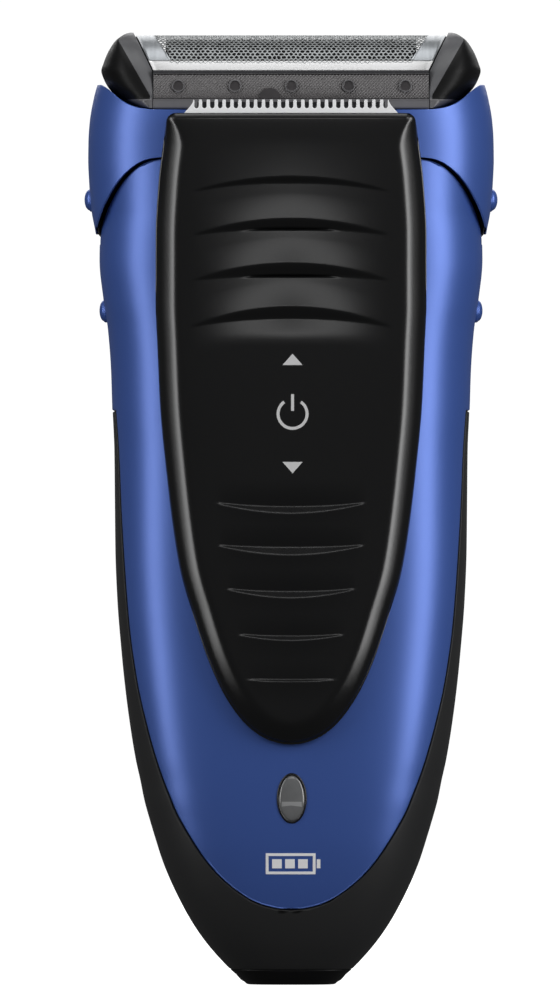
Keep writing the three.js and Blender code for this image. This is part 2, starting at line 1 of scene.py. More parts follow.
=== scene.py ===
import math
import bpy
import bmesh
import numpy as np
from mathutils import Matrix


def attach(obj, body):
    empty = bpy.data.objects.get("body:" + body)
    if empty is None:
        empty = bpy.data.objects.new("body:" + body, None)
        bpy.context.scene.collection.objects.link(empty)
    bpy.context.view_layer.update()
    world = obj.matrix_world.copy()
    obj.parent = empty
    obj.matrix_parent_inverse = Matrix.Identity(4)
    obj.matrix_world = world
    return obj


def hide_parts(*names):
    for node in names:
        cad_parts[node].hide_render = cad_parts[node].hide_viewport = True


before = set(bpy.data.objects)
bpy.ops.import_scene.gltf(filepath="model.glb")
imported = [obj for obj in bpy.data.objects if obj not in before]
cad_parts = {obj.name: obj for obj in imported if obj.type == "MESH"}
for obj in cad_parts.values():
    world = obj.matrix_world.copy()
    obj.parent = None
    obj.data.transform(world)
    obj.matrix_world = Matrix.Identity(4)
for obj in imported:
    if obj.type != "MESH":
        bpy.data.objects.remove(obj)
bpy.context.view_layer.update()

MM = 0.001
rng = np.random.default_rng(7)

# ------------------------------------------------------------------ dimensions, mm, as in the CAD
N_SEC = 2.8
Z_STEP = 77.4
Y_PART = 3.6
Y0 = 1.0
W_BODY = [(0, 6.0), (0.6, 6.8), (1.35, 7.45), (1.89, 8.1), (3.24, 9.45), (5.94, 11.75), (8.64, 13.57), (11.34, 15.05),
          (14.04, 16.34), (16.74, 17.42), (19.44, 18.29), (22.14, 19.1), (24.84, 19.85), (27.54, 20.39), (30.24, 20.99), (35.64, 21.87),
          (41.04, 22.55), (45.09, 22.95), (51.84, 23.49), (58.59, 23.76), (65.34, 23.83), (72.09, 23.9), (77.3, 24.12), (82.89, 24.3),
          (88.29, 24.71), (92.34, 25.31), (97.74, 25.85), (100.44, 25.8), (104, 25.5)]
W_HEAD = [(100.4, 26.2), (101.79, 26.45), (104.5, 26.95), (108.54, 27.27), (111.24, 27.38), (113.94, 27.34), (116.64, 27.14),
          (119.34, 26.66), (120.69, 26.33), (122.5, 25.7)]
D_FRONT = [(0, 5.0), (0.6, 5.8), (1.35, 6.4), (1.89, 6.8), (3.24, 7.7), (5.94, 9.2), (10, 10.8), (14, 11.9), (20, 13.0), (30, 13.9), (40, 14.3),
           (60, 14.5), (122.5, 14.5)]
D_REAR = [(0, 5.0), (0.6, 5.9), (1.35, 6.6), (1.89, 7.0), (3.24, 8.0), (5.94, 9.8), (10, 11.4), (14, 12.6), (20, 13.9), (30, 15.1), (45, 16.1),
          (60, 16.5), (75, 16.2), (86, 15.9), (95, 16.0), (105, 16.4), (112, 16.6), (122.5, 16.6)]
W_BLUE = [(11.34, 4.93), (13.37, 8.1), (15.39, 10.26), (17.42, 11.88), (19.44, 13.23), (21.47, 14.45), (23.49, 15.53),
          (25.5, 16.34), (27.54, 17.15), (31.6, 18.5), (35.64, 19.58), (39.7, 20.52), (43.7, 21.2), (47.8, 21.74), (55.9, 22.4), (64, 22.88),
          (72.1, 23.22), (77.4, 23.6)]
Z_TIP = 10.3
W_PLATE = [(33.7, 4.19), (35.64, 6.48), (37.67, 8.03), (39.7, 9.25), (43.74, 11.07), (49.8, 13.1), (55.9, 14.9), (62, 15.9),
           (70, 16.85), (78, 17.6), (86, 17.96), (92, 18.2), (100.4, 18.2), (108, 17.8), (113.4, 17.15), (116.0, 16.8), (117.3, 16.6)]
Z_PTIP = 32.5
Z_PTOP = 117.3
TRAVEL = 10.5
PIVOT = (17.0, 109.6)


def pchip(table):
    x = np.array([p[0] for p in table], float)
    y = np.array([p[1] for p in table], float)
    h = np.diff(x)
    d = np.diff(y) / h
    m = np.zeros_like(y)
    for i in range(1, len(x) - 1):
        if d[i - 1] * d[i] > 0:
            w1, w2 = 2 * h[i] + h[i - 1], h[i] + 2 * h[i - 1]
            m[i] = (w1 + w2) / (w1 / d[i - 1] + w2 / d[i])
    m[0], m[-1] = d[0], d[-1]

    def f(q):
        q = np.clip(np.asarray(q, float), x[0], x[-1])
        i = np.clip(np.searchsorted(x, q, side="right") - 1, 0, len(x) - 2)
        t = (q - x[i]) / h[i]
        return (y[i] * (1 + 2 * t) * (1 - t) ** 2 + m[i] * h[i] * t * (1 - t) ** 2
                + y[i + 1] * t * t * (3 - 2 * t) + m[i + 1] * h[i] * t * t * (t - 1))
    return f


w_body, w_head, d_front, d_rear = pchip(W_BODY), pchip(W_HEAD), pchip(D_FRONT), pchip(D_REAR)
w_rear = pchip([(z, w - 0.05) for z, w in W_BODY if z < 97] + [(98.5, 25.74), (100.4, 25.66), (100.85, 25.70), (101.1, 26.12), (101.9, 26.42), (102.6, 26.6)]
               + [(z, w - 0.07) for z, w in W_HEAD if z > 103])
_blue2 = pchip([(Z_TIP, 0.0)] + [(z, w * w) for z, w in W_BLUE])
_plate2 = pchip([(Z_PTIP, 0.0)] + [(z, w * w) for z, w in W_PLATE])


def w_blue(z):
    return np.sqrt(np.maximum(_blue2(z), 0))


def w_plate(z):
    h = np.sqrt(np.maximum(_plate2(z), 0))
    r = 1.05                                        # rounded upper corners
    dz = np.clip((np.asarray(z, float) - (Z_PTOP - r)) / r, 0, 1)
    return h - r * (1 - np.sqrt(np.maximum(0, 1 - dz * dz)))


def unit(a):
    return np.maximum(0, 1 - np.minimum(1, np.abs(a)) ** N_SEC) ** (1 / N_SEC)


def sec_point(t, w, df, dr):
    c, s = np.cos(t), np.sin(t)
    k = 2 / N_SEC
    return w * np.sign(c) * np.abs(c) ** k, np.where(s < 0, df, dr) * np.sign(s) * np.abs(s) ** k


def arc(z, ta, tb, n, wf=w_body, inset=0.0):
    """n+1 points of even spacing on the body section at height z, from angle ta to tb."""
    t = np.linspace(ta, tb, 260)
    x, y = sec_point(t, wf(z) - inset, d_front(z) - inset, d_rear(z) - inset)
    s = np.concatenate([[0], np.cumsum(np.hypot(np.diff(x), np.diff(y)))])
    q = np.linspace(0, s[-1], n + 1)
    return np.stack([np.interp(q, s, x), np.interp(q, s, y), np.full(n + 1, z)], 1)


def t_of_x(x, w):
    """Angle on the front right side where the half width is x."""
    return -math.acos(min(1.0, max(0.0, (x / w) ** (N_SEC / 2))))


def t_of_y(y, d):
    return math.asin((y / d) ** (N_SEC / 2))


# ------------------------------------------------------------------ materials
def material(name, color, rough, metal=0.0, coat=0.0, coat_rough=0.1, bump=0.0, bump_scale=2500.0, rough_var=0.06, tint_var=0.08,
             tint_scale=60.0, spec=0.5, detail=3.0, aniso=0.0, stretch=(1, 1, 1), transmission=0.0, ior=1.5):
    m = bpy.data.materials.new(name)
    m.use_nodes = True
    nt = m.node_tree
    b = nt.nodes["Principled BSDF"]
    b.inputs["Metallic"].default_value = metal
    b.inputs["Coat Weight"].default_value = coat
    b.inputs["Coat Roughness"].default_value = coat_rough
    b.inputs["Specular IOR Level"].default_value = spec
    b.inputs["Anisotropic"].default_value = aniso
    b.inputs["IOR"].default_value = ior
    b.inputs["Transmission Weight"].default_value = transmission
    tc = nt.nodes.new("ShaderNodeTexCoord")
    mp = nt.nodes.new("ShaderNodeMapping")
    mp.inputs["Scale"].default_value = stretch
    nt.links.new(tc.outputs["Object"], mp.inputs["Vector"])
    big = nt.nodes.new("ShaderNodeTexNoise")
    big.inputs["Scale"].default_value = tint_scale
    big.inputs["Detail"].default_value = 4
    nt.links.new(mp.outputs["Vector"], big.inputs["Vector"])
    mix = nt.nodes.new("ShaderNodeMix")
    mix.data_type = "RGBA"
    lo = [max(0.0, c * (1 - tint_var)) for c in color]
    hi = [min(1.0, c * (1 + tint_var)) for c in color]
    mix.inputs["A"].default_value = (*lo, 1)
    mix.inputs["B"].default_value = (*hi, 1)
    nt.links.new(big.outputs["Fac"], mix.inputs["Factor"])
    nt.links.new(mix.outputs["Result"], b.inputs["Base Color"])
    fine = nt.nodes.new("ShaderNodeTexNoise")
    fine.inputs["Scale"].default_value = bump_scale
    fine.inputs["Detail"].default_value = detail
    nt.links.new(mp.outputs["Vector"], fine.inputs["Vector"])
    mr = nt.nodes.new("ShaderNodeMapRange")
    mr.inputs["To Min"].default_value = max(0.02, rough - rough_var)
    mr.inputs["To Max"].default_value = min(1.0, rough + rough_var)
    nt.links.new(fine.outputs["Fac"], mr.inputs["Value"])
    nt.links.new(mr.outputs["Result"], b.inputs["Roughness"])
    if bump > 0:
        bp = nt.nodes.new("ShaderNodeBump")
        bp.inputs["Strength"].default_value = 0.6
        bp.inputs["Distance"].default_value = bump * MM
        nt.links.new(fine.outputs["Fac"], bp.inputs["Height"])
        nt.links.new(bp.outputs["Normal"], b.inputs["Normal"])
    m["kit_ok"] = 1
    return m


BLUE = material("satin_blue", (0.060, 0.130, 0.455), 0.40, metal=0.40, coat=0.22, coat_rough=0.30, bump=0.002, bump_scale=5200, rough_var=0.04,
                tint_var=0.05, tint_scale=30)
SOFT = material("soft_touch_black", (0.0185, 0.0188, 0.0195), 0.52, bump=0.006, bump_scale=3000, rough_var=0.05, tint_var=0.12, spec=0.40)
BASE = material("base_black", (0.004, 0.004, 0.0045), 0.50, bump=0.010, bump_scale=2600, rough_var=0.08, spec=0.2)
PLATE = material("plate_black", (0.0042, 0.0043, 0.0046), 0.26, bump=0.0008, bump_scale=3000, rough_var=0.02, tint_var=0.15, spec=0.56)
# near-black seam colour: painted shade
SEAM_PAINTED_SHADE = material("seam_shadow", (0.002, 0.002, 0.002), 0.8, bump=0.01, spec=0.1)
# lit and shaded copies of the smoked plastic for the cheek facets: the inner one lighter as painted light, the outer
# one near black as painted shade
CHEEK_FACET_PAINTED_LIGHT = material("smoked_inner_painted_light", (0.085, 0.086, 0.092), 0.40, bump=0.006, bump_scale=1500, rough_var=0.08, tint_var=0.30, tint_scale=160, spec=0.5)
CHEEK_FACET_PAINTED_SHADE = material("smoked_outer_painted_shade", (0.0042, 0.0042, 0.0045), 0.48, bump=0.012, bump_scale=900, rough_var=0.10, tint_var=0.5, tint_scale=160, spec=0.16, stretch=(1, 1, 6))
SMOKE = material("smoked_plastic", (0.030, 0.030, 0.033), 0.26, bump=0.004, bump_scale=3000, rough_var=0.06, tint_var=0.25, tint_scale=220, spec=0.6)
# lighter copy of the smoked plastic: painted light on the lower lip band, the cheek foot and the peg rims
SMOKE_PAINTED_LIGHT = material("smoked_plastic_painted_light", (0.100, 0.098, 0.104), 0.34, bump=0.006, bump_scale=2400, rough_var=0.08, tint_var=0.22, tint_scale=300, spec=0.55)
KNURL = material("smoked_knurl", (0.066, 0.061, 0.063), 0.36, bump=0.006, bump_scale=2600, rough_var=0.08, tint_var=0.35, tint_scale=420, spec=0.6)
PEG = material("smoked_peg", (0.034, 0.031, 0.033), 0.40, bump=0.01, bump_scale=1800, rough_var=0.1, tint_var=0.3, tint_scale=500)
FOIL = material("foil_web", (0.30, 0.315, 0.32), 0.42, metal=0.65, bump=0.003, bump_scale=900, rough_var=0.06, tint_var=0.10, tint_scale=300)
# steel foil rim coloured near white: painted highlight
FOIL_RIM_PAINTED_HIGHLIGHT = material("foil_rim_painted_highlight", (0.97, 0.975, 0.985), 0.36, metal=0.15, bump=0.003, bump_scale=900, rough_var=0.06, tint_var=0.03, tint_scale=120, stretch=(1, 6, 6))
FOIL_END = material("foil_brushed", (0.36, 0.38, 0.40), 0.34, metal=0.6, bump=0.012, bump_scale=600, rough_var=0.10, tint_var=0.30, tint_scale=420,
                    stretch=(5, 0.4, 0.4))
# steel comb coloured near white: painted reflection of the studio light
COMB_PAINTED_REFLECTION = material("comb_steel", (0.95, 0.955, 0.97), 0.42, metal=0.05, bump=0.004, bump_scale=2200, rough_var=0.06, tint_var=0.03, stretch=(1, 1, 5))
BLADE = material("blade_steel", (0.03, 0.03, 0.033), 0.42, metal=0.6, bump=0.004, bump_scale=1500, rough_var=0.08, tint_var=0.1, stretch=(6, 1, 1))
# steel cutter coloured near black with low specular: painted shade inside the foil
FIN_PAINTED_SHADE = material("cutter_steel_painted_shade", (0.012, 0.012, 0.013), 0.50, metal=0.2, spec=0.15, bump=0.003, bump_scale=1500, rough_var=0.08, tint_var=0.15)
STEEL = material("bright_steel", (0.62, 0.63, 0.66), 0.24, metal=1.0, bump=0.003, bump_scale=1800, rough_var=0.08, tint_var=0.05, stretch=(4, 4, 1))
ZINC = material("dull_steel", (0.30, 0.31, 0.33), 0.38, metal=1.0, bump=0.006, bump_scale=1800, rough_var=0.10, tint_var=0.12)
BRASS = material("brass", (0.62, 0.44, 0.18), 0.30, metal=1.0, bump=0.004, bump_scale=1500, rough_var=0.10, tint_var=0.08)
WHITE_P = material("natural_plastic", (0.60, 0.60, 0.56), 0.48, bump=0.008, bump_scale=1800, rough_var=0.07, tint_var=0.04)
RUBBER = material("boot_rubber", (0.018, 0.018, 0.019), 0.80, bump=0.015, bump_scale=1500, rough_var=0.06, tint_var=0.15, spec=0.3)
BOARD = material("solder_mask", (0.02, 0.12, 0.055), 0.36, bump=0.01, bump_scale=900, rough_var=0.10, tint_var=0.15)
COPPER = material("winding", (0.42, 0.17, 0.07), 0.34, metal=0.9, bump=0.05, bump_scale=700, rough_var=0.10, tint_var=0.15, stretch=(1, 1, 8))
CELL = material("cell_sleeve", (0.03, 0.22, 0.09), 0.34, bump=0.004, bump_scale=900, rough_var=0.08, tint_var=0.06, coat=0.3)
LAMP = material("lamp", (0.45, 0.62, 0.45), 0.16, bump=0.002, bump_scale=700, rough_var=0.04, transmission=0.4)
LENS = material("window_lens", (0.155, 0.158, 0.162), 0.16, coat=0.6, coat_rough=0.04, bump=0.002, bump_scale=500, rough_var=0.03, tint_var=0.35, tint_scale=350, spec=0.7)
LENS_L = material("window_band", (0.34, 0.345, 0.35), 0.2, coat=0.5, coat_rough=0.05, bump=0.002, bump_scale=500, rough_var=0.04, tint_var=0.12, tint_scale=300)
RIM = material("window_rim", (0.006, 0.006, 0.008), 0.28, bump=0.003, bump_scale=1600, rough_var=0.06)
MARK = material("print_grey", (0.64, 0.64, 0.64), 0.42, bump=0.002, bump_scale=2500, rough_var=0.05, tint_var=0.06)
MARK_W = material("print_white", (0.96, 0.965, 0.98), 0.40, bump=0.002, bump_scale=2500, rough_var=0.05, tint_var=0.04)


# ------------------------------------------------------------------ mesh helpers
def make(name, verts, faces, mat, body, replaces=(), slot=None, smooth=True, mats=None, face_mats=None, merge=True, sharp=None):
    me = bpy.data.meshes.new(name)
    me.from_pydata((np.asarray(verts, float) * MM).tolist(), [], [tuple(int(i) for i in f) for f in faces])
    for m in ([mat] if mats is None else mats):
        me.materials.append(m)
    if face_mats is not None:
        me.polygons.foreach_set("material_index", np.asarray(face_mats, int))
    if merge:
        bm = bmesh.new()
        bm.from_mesh(me)
        bmesh.ops.remove_doubles(bm, verts=bm.verts, dist=2e-7)
        bmesh.ops.dissolve_degenerate(bm, dist=1e-7, edges=bm.edges)
        loose = [v for v in bm.verts if not v.link_faces]
        bmesh.ops.delete(bm, geom=loose, context="VERTS")
        bmesh.ops.recalc_face_normals(bm, faces=bm.faces)
        if smooth:
            for f in bm.faces:
                f.smooth = True
        if sharp is not None:
            for e in bm.edges:
                if len(e.link_faces) == 2 and e.calc_face_angle(0) > math.radians(sharp):
                    e.smooth = False
        bm.to_mesh(me)
        bm.free()
    elif smooth:
        me.shade_smooth()
    me.update()
    o = bpy.data.objects.new(name, me)
    bpy.context.collection.objects.link(o)
    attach(o, body)
    if replaces:
        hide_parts(*replaces)
    return o


def grid_faces(nr, nc, base=0, closed=False):
    f = []
    for r in range(nr - 1):
        for c in range(nc if closed else nc - 1):
            a, b = base + r * nc + c, base + r * nc + (c + 1) % nc
            f.append((a, b, b + nc, a + nc))
    return f


def shell(name, P, exists, depth, r, mat, body, replaces, slot, closed=False, face_ok=None, rings=5):
    """A closed skin of one thickness with rounded lips. P is rows x columns x 3 (mm), exists marks the used points."""
    nr, nc = P.shape[:2]
    idx = -np.ones((nr, nc), int)
    idx[exists] = np.arange(exists.sum())
    V = P[exists]
    F = []
    for i in range(nr - 1):
        for j in range(nc if closed else nc - 1):
            k = (j + 1) % nc
            q = (idx[i, j], idx[i, k], idx[i + 1, k], idx[i + 1, j])
            if min(q) >= 0 and (face_ok is None or face_ok(V[list(q)].mean(0))):
                F.append(q)
    bm = bmesh.new()
    vs = [bm.verts.new(v) for v in V]
    for q in F:
        try:
            bm.faces.new([vs[i] for i in q])
        except ValueError:
            pass
    bmesh.ops.remove_doubles(bm, verts=bm.verts, dist=0.002)
    bmesh.ops.dissolve_degenerate(bm, dist=0.001, edges=bm.edges)
    bmesh.ops.delete(bm, geom=[v for v in bm.verts if not v.link_faces], context="VERTS")
    bmesh.ops.recalc_face_normals(bm, faces=bm.faces)
    bm.normal_update()
    centre = V.mean(0)
    test = sum(f.normal.dot(f.calc_center_median() - f.calc_center_median().__class__((0, 0, f.calc_center_median().z))) * f.calc_area() for f in bm.faces)
    if test < 0:
        bmesh.ops.reverse_faces(bm, faces=bm.faces)
    bm.normal_update()
    bm.verts.index_update()
    co = np.array([v.co for v in bm.verts])
    no = np.array([v.normal for v in bm.verts])
    nv = len(co)
    faces = [[v.index for v in f.verts] for f in bm.faces]
    T = np.zeros((nv, 3))
    rim = []
    for e in bm.edges:
        if len(e.link_faces) == 1:
            loop = e.link_loops[0]
            a, b = loop.vert.index, loop.link_loop_next.vert.index
            rim.append((a, b))
            f = e.link_faces[0]
            ed = np.array(e.verts[1].co - e.verts[0].co)
            t = np.cross(ed, np.array(f.normal))
            t /= np.linalg.norm(t) + 1e-12
            mid = (np.array(e.verts[0].co) + np.array(e.verts[1].co)) / 2
            if np.dot(t, mid - np.array(f.calc_center_median())) < 0:
                t = -t
            L = np.linalg.norm(ed)
            T[a] += t * L
            T[b] += t * L
    bm.free()
    on = np.array(sorted({i for ab in rim for i in ab}), int)
    T[on] -= no[on] * np.sum(T[on] * no[on], 1, keepdims=True)
    T[on] /= np.linalg.norm(T[on], axis=1, keepdims=True) + 1e-12
    out = co.copy()
    out[on] = co[on] - T[on] * r
    verts = [out]
    ring_of = {v: i for i, v in enumerate(on)}
    base = nv
    prev = {v: v for v in on}
    fs = [tuple(f) for f in faces]
    for k in range(1, rings + 1):
        if k < rings:
            ph = math.pi / 2 * k / (rings - 1)
            q = co[on] - T[on] * r * (1 - math.sin(ph)) - no[on] * r * (1 - math.cos(ph))
            verts.append(q)
            cur = {v: base + ring_of[v] for v in on}
            base += len(on)
        else:                                        # inner skin
            verts.append(co - no * depth)
            cur = {v: base + v for v in on}
        for a, b in rim:
            fs.append((prev[b], prev[a], cur[a], cur[b]))
        prev = cur
    fs += [tuple(base + i for i in reversed(f)) for f in faces]
    return make(name, np.concatenate(verts), fs, mat, body, replaces, slot, merge=True)


def loft_solid(name, sections, mat, body, replaces=(), slot=None, sharp=40, **kw):
    """Closed solid from a stack of closed sections with the same number of points."""
    S = np.asarray(sections, float)
    nr, nc = S.shape[:2]
    V = S.reshape(-1, 3)
    F = grid_faces(nr, nc, closed=True)
    F.append(tuple(range(nc))[::-1])
    F.append(tuple(range((nr - 1) * nc, nr * nc)))
    return make(name, V, F, mat, body, replaces, slot, sharp=sharp, **kw)


def join(objs):
    bpy.ops.object.select_all(action="DESELECT")
    for o in objs:
        o.select_set(True)
    bpy.context.view_layer.objects.active = objs[0]
    bpy.ops.object.join()
    return objs[0]


def box_bevel(name, lo, hi, r, mat, body, seg=3, **kw):
    bm = bmesh.new()
    bmesh.ops.create_cube(bm, size=1)
    for v in bm.verts:
        for i in range(3):
            v.co[i] = lo[i] if v.co[i] < 0 else hi[i]
    bmesh.ops.bevel(bm, geom=bm.edges[:], offset=r, segments=seg, profile=0.5, affect="EDGES", clamp_overlap=True)
    V = np.array([v.co[:] for v in bm.verts])
    bm.verts.index_update()
    F = [[v.index for v in f.verts] for f in bm.faces]
    bm.free()
    return make(name, V, F, mat, body, sharp=50, **kw)


def refine(node, mat, width=0.15, body=None):
    """A bevelled copy of a CAD node, with its flat triangles merged, that stands for it."""
    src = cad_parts[node]
    bm = bmesh.new()
    bm.from_mesh(src.data)
    bm.transform(src.matrix_world)
    bmesh.ops.remove_doubles(bm, verts=bm.verts, dist=2e-7)
    bmesh.ops.dissolve_limit(bm, angle_limit=math.radians(1.5), verts=bm.verts, edges=bm.edges)
    es = [e for e in bm.edges if len(e.link_faces) == 2 and e.calc_face_angle(0) > math.radians(38)]
    bmesh.ops.bevel(bm, geom=es, offset=width * MM, segments=2, profile=0.5, affect="EDGES", clamp_overlap=True)
    bmesh.ops.remove_doubles(bm, verts=bm.verts, dist=1e-7)
    for f in bm.faces:
        f.smooth = True
    for e in bm.edges:
        if len(e.link_faces) == 2 and e.calc_face_angle(0) > math.radians(46):
            e.smooth = False
    me = bpy.data.meshes.new(node + "_fine")
    bm.to_mesh(me)
    bm.free()
    me.materials.append(mat)
    o = bpy.data.objects.new(node + "_fine", me)
    bpy.context.collection.objects.link(o)
    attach(o, body)
    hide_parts(node)
    return o


# ------------------------------------------------------------------ blue front housing
SHOULDER = [(25.75, 99.9), (25.68, 101.5), (25.42, 102.6), (25.08, 103.7), (24.66, 104.8), (24.15, 105.8), (23.55, 106.9), (22.82, 108.0),
            (21.9, 109.1), (20.6, 110.2), (19.6, 110.72), (18.7, 111.0), (17.1, 111.2), (15.3, 111.28), (13.5, 111.34)]
_arc_pts = np.array(SHOULDER)


def resample(pts, n):
    pts = np.asarray(pts, float)
    for _ in range(3):                               # corner cutting keeps the line smooth
        mid = np.empty((2 * len(pts) - 2, 2))
        mid[0::2] = pts[:-1] * 0.75 + pts[1:] * 0.25
        mid[1::2] = pts[:-1] * 0.25 + pts[1:] * 0.75
        pts = np.vstack([pts[:1], mid, pts[-1:]])
    s = np.concatenate([[0], np.cumsum(np.hypot(*np.diff(pts, axis=0).T))])
    q = np.linspace(0, s[-1], n)
    return np.stack([np.interp(q, s, pts[:, 0]), np.interp(q, s, pts[:, 1])], 1)


arc_line = resample(_arc_pts, 72)                    # x falls, z rises


def front_housing():
    z_low = Z_TIP + (Z_STEP - Z_TIP) * np.linspace(0, 1, 130) ** 1.6
    z_mid = np.linspace(Z_STEP, 99.9, 46)[1:]
    rows = []
    NC, NS = 88, 12
    lo_n = len(z_low)
    P, E = [], []
    for i, z in enumerate(list(z_low) + list(z_mid) + list(arc_line[1:, 1])):
        w = float(w_body(z))
        if i < lo_n:
            xc = float(w_blue(z))
        elif z <= 99.9:
            k = (z - Z_STEP) / (99.9 - Z_STEP)
            xc = w * (0.978 + (0.9965 - 0.978) * k)
        else:
            xc = float(arc_line[1 + i - lo_n - len(z_mid), 0])
        xc = min(xc, w * 0.9985)
        tR = t_of_x(max(xc, 0.02), w)
        centre = arc(z, -math.pi - tR, tR, NC)
        if i >= lo_n - 1 and z <= 99.9:
            tY = t_of_y(Y_PART, float(d_rear(z)))
            right = arc(z, tR, tY, NS)[1:]
            left = right[::-1] * np.array([-1, 1, 1])
            P.append(np.vstack([left, centre, right]))
            E.append([True] * (2 * NS + NC + 1))
        else:
            pad = np.zeros((NS, 3))
            P.append(np.vstack([pad, centre, pad]))
            E.append([False] * NS + [True] * (NC + 1) + [False] * NS)
    ok = lambda c: not (abs(c[0]) < 14.9 and c[2] > 99.1 and c[1] < 0)
    o = shell("body_front_shell", np.array(P), np.array(E), 1.5, 0.22, BLUE, "root", ["front_housing"], "blue_shell", face_ok=ok)
    return o


def rear_housing():
    g = 0.16
    rows = np.concatenate([np.linspace(2.06, Z_TIP - 0.2, 18), Z_TIP - 0.2 + (Z_STEP - g - Z_TIP + 0.2) * np.linspace(0, 1, 120)[1:] ** 1.5,
                           np.linspace(Z_STEP - g, 117.5, 70)[1:]])
    NB, NS = 92, 26
    P, E = [], []
    for z in rows:
        w, dr = float(w_rear(z)), float(d_rear(z))
        yp = min(Y_PART + g, dr * 0.55)
        tY = t_of_y(yp, dr)
        back = arc(z, tY, math.pi - tY, NB, wf=w_rear)
        if z <= Z_STEP - g + 1e-6:
            xb = float(w_blue(z - 0.0)) + (g if z > Z_TIP else 0)
            if z <= Z_TIP - g:
                xb = 0.0
            elif z <= Z_TIP + 1.2:
                xb = max(0.0, float(w_blue(z + g)) + g * 0.5)
            tR = t_of_x(min(max(xb, 0.0), w * 0.998), w)
            side = arc(z, tR, tY, NS, wf=w_rear)[:-1]          # from the front edge round to the parting height
            left = side[::-1] * np.array([-1, 1, 1])
            P.append(np.vstack([side, back, left]))
            E.append([True] * (2 * NS + NB + 1))
        else:
            pad = np.zeros((NS, 3))
            P.append(np.vstack([pad, back, pad]))
            E.append([False] * NS + [True] * (NB + 1) + [False] * NS)
    return shell("body_rear_shell", np.array(P), np.array(E), 1.5, 0.14, SOFT, "root", ["rear_housing"], "soft_black")


front_housing()
rear_housing()


# ------------------------------------------------------------------ base cap with its socket
def base_cap():
    n = 96
    def ring(z, w, df, dr):
        t = 2 * math.pi * (np.arange(n) + 0.5) / n
        x, y = sec_point(t, w, df, dr)
        return np.stack([x, y, np.full(n, z)], 1)
    def rrect(z, a, b, r):
        pts = []
        for q, (cx, cy) in enumerate([(a - r, b - r), (-a + r, b - r), (-a + r, -b + r), (a - r, -b + r)]):
            for k in range(n // 4):
                ang = math.pi / 2 * (q + (k + 0.5) / (n // 4))
                pts.append((cx + r * math.cos(ang), cy + r * math.sin(ang), z))
        return np.array(pts)
    S = [rrect(9.0, 4.5, 2.9, 0.7), rrect(0.35, 4.5, 2.9, 0.7), rrect(0.1, 4.6, 3.0, 0.8), rrect(0.0, 4.8, 3.2, 0.95)]
    for z, k in [(0.0, 0.0), (0.03, 0.25), (0.12, 0.55), (0.3, 0.85)]:
        S.append(ring(z, 5.75 + k * 0.6, 4.8 + k * 0.6, 4.8 + k * 0.62))
    for z in [0.6, 0.95, 1.35, 1.7, 1.94]:
        S.append(ring(z, float(w_body(z)) - 0.02, float(d_front(z)) - 0.02, float(d_rear(z)) - 0.02))
    S.append(ring(2.22, float(w_body(2.0)) - 0.12, float(d_front(2.0)) - 0.12, float(d_rear(2.0)) - 0.12))
    S.append(ring(2.55, float(w_body(2.0)) - 0.55, float(d_front(2.0)) - 0.5, float(d_rear(2.0)) - 0.5))
    S.append(ring(2.62, 5.45, 4.2, 4.2))
    S.append(rrect(10.9, 5.3, 3.7, 1.0))
    S = np.array(S)
    V = S.reshape(-1, 3)
    F = grid_faces(len(S), n, closed=True)
    F.append(tuple(range(n)))
    F.append(tuple(range((len(S) - 1) * n, len(S) * n))[::-1])
    make("base_cap", V, F, BASE, "root", ["base_socket"], "base_black", sharp=48)


base_cap()


# ------------------------------------------------------------------ release wings
def rot_pts(p, deg):
    a = math.radians(deg)
    d = p - np.array(PIVOT)
    return np.stack([PIVOT[0] + d[:, 0] * math.cos(a) - d[:, 1] * math.sin(a), PIVOT[1] + d[:, 0] * math.sin(a) + d[:, 1] * math.cos(a)], 1)


def offset_line(p, d):
    t = np.gradient(p, axis=0)
    t /= np.linalg.norm(t, axis=1, keepdims=True)
    return p + np.stack([t[:, 1], -t[:, 0]], 1) * d


under = rot_pts(offset_line(arc_line, 0.24), 2.0)
under = under[under[:, 1] > 101.25]
top_line = resample([(13.95, 117.8), (18.6, 117.84), (19.5, 117.93), (20.4, 118.07), (21.2, 118.3), (22.0, 118.64), (22.8, 119.14), (23.4, 119.6), (24.0, 120.16), (24.5, 120.6), (25.0, 120.98), (25.55, 121.3)], 56)


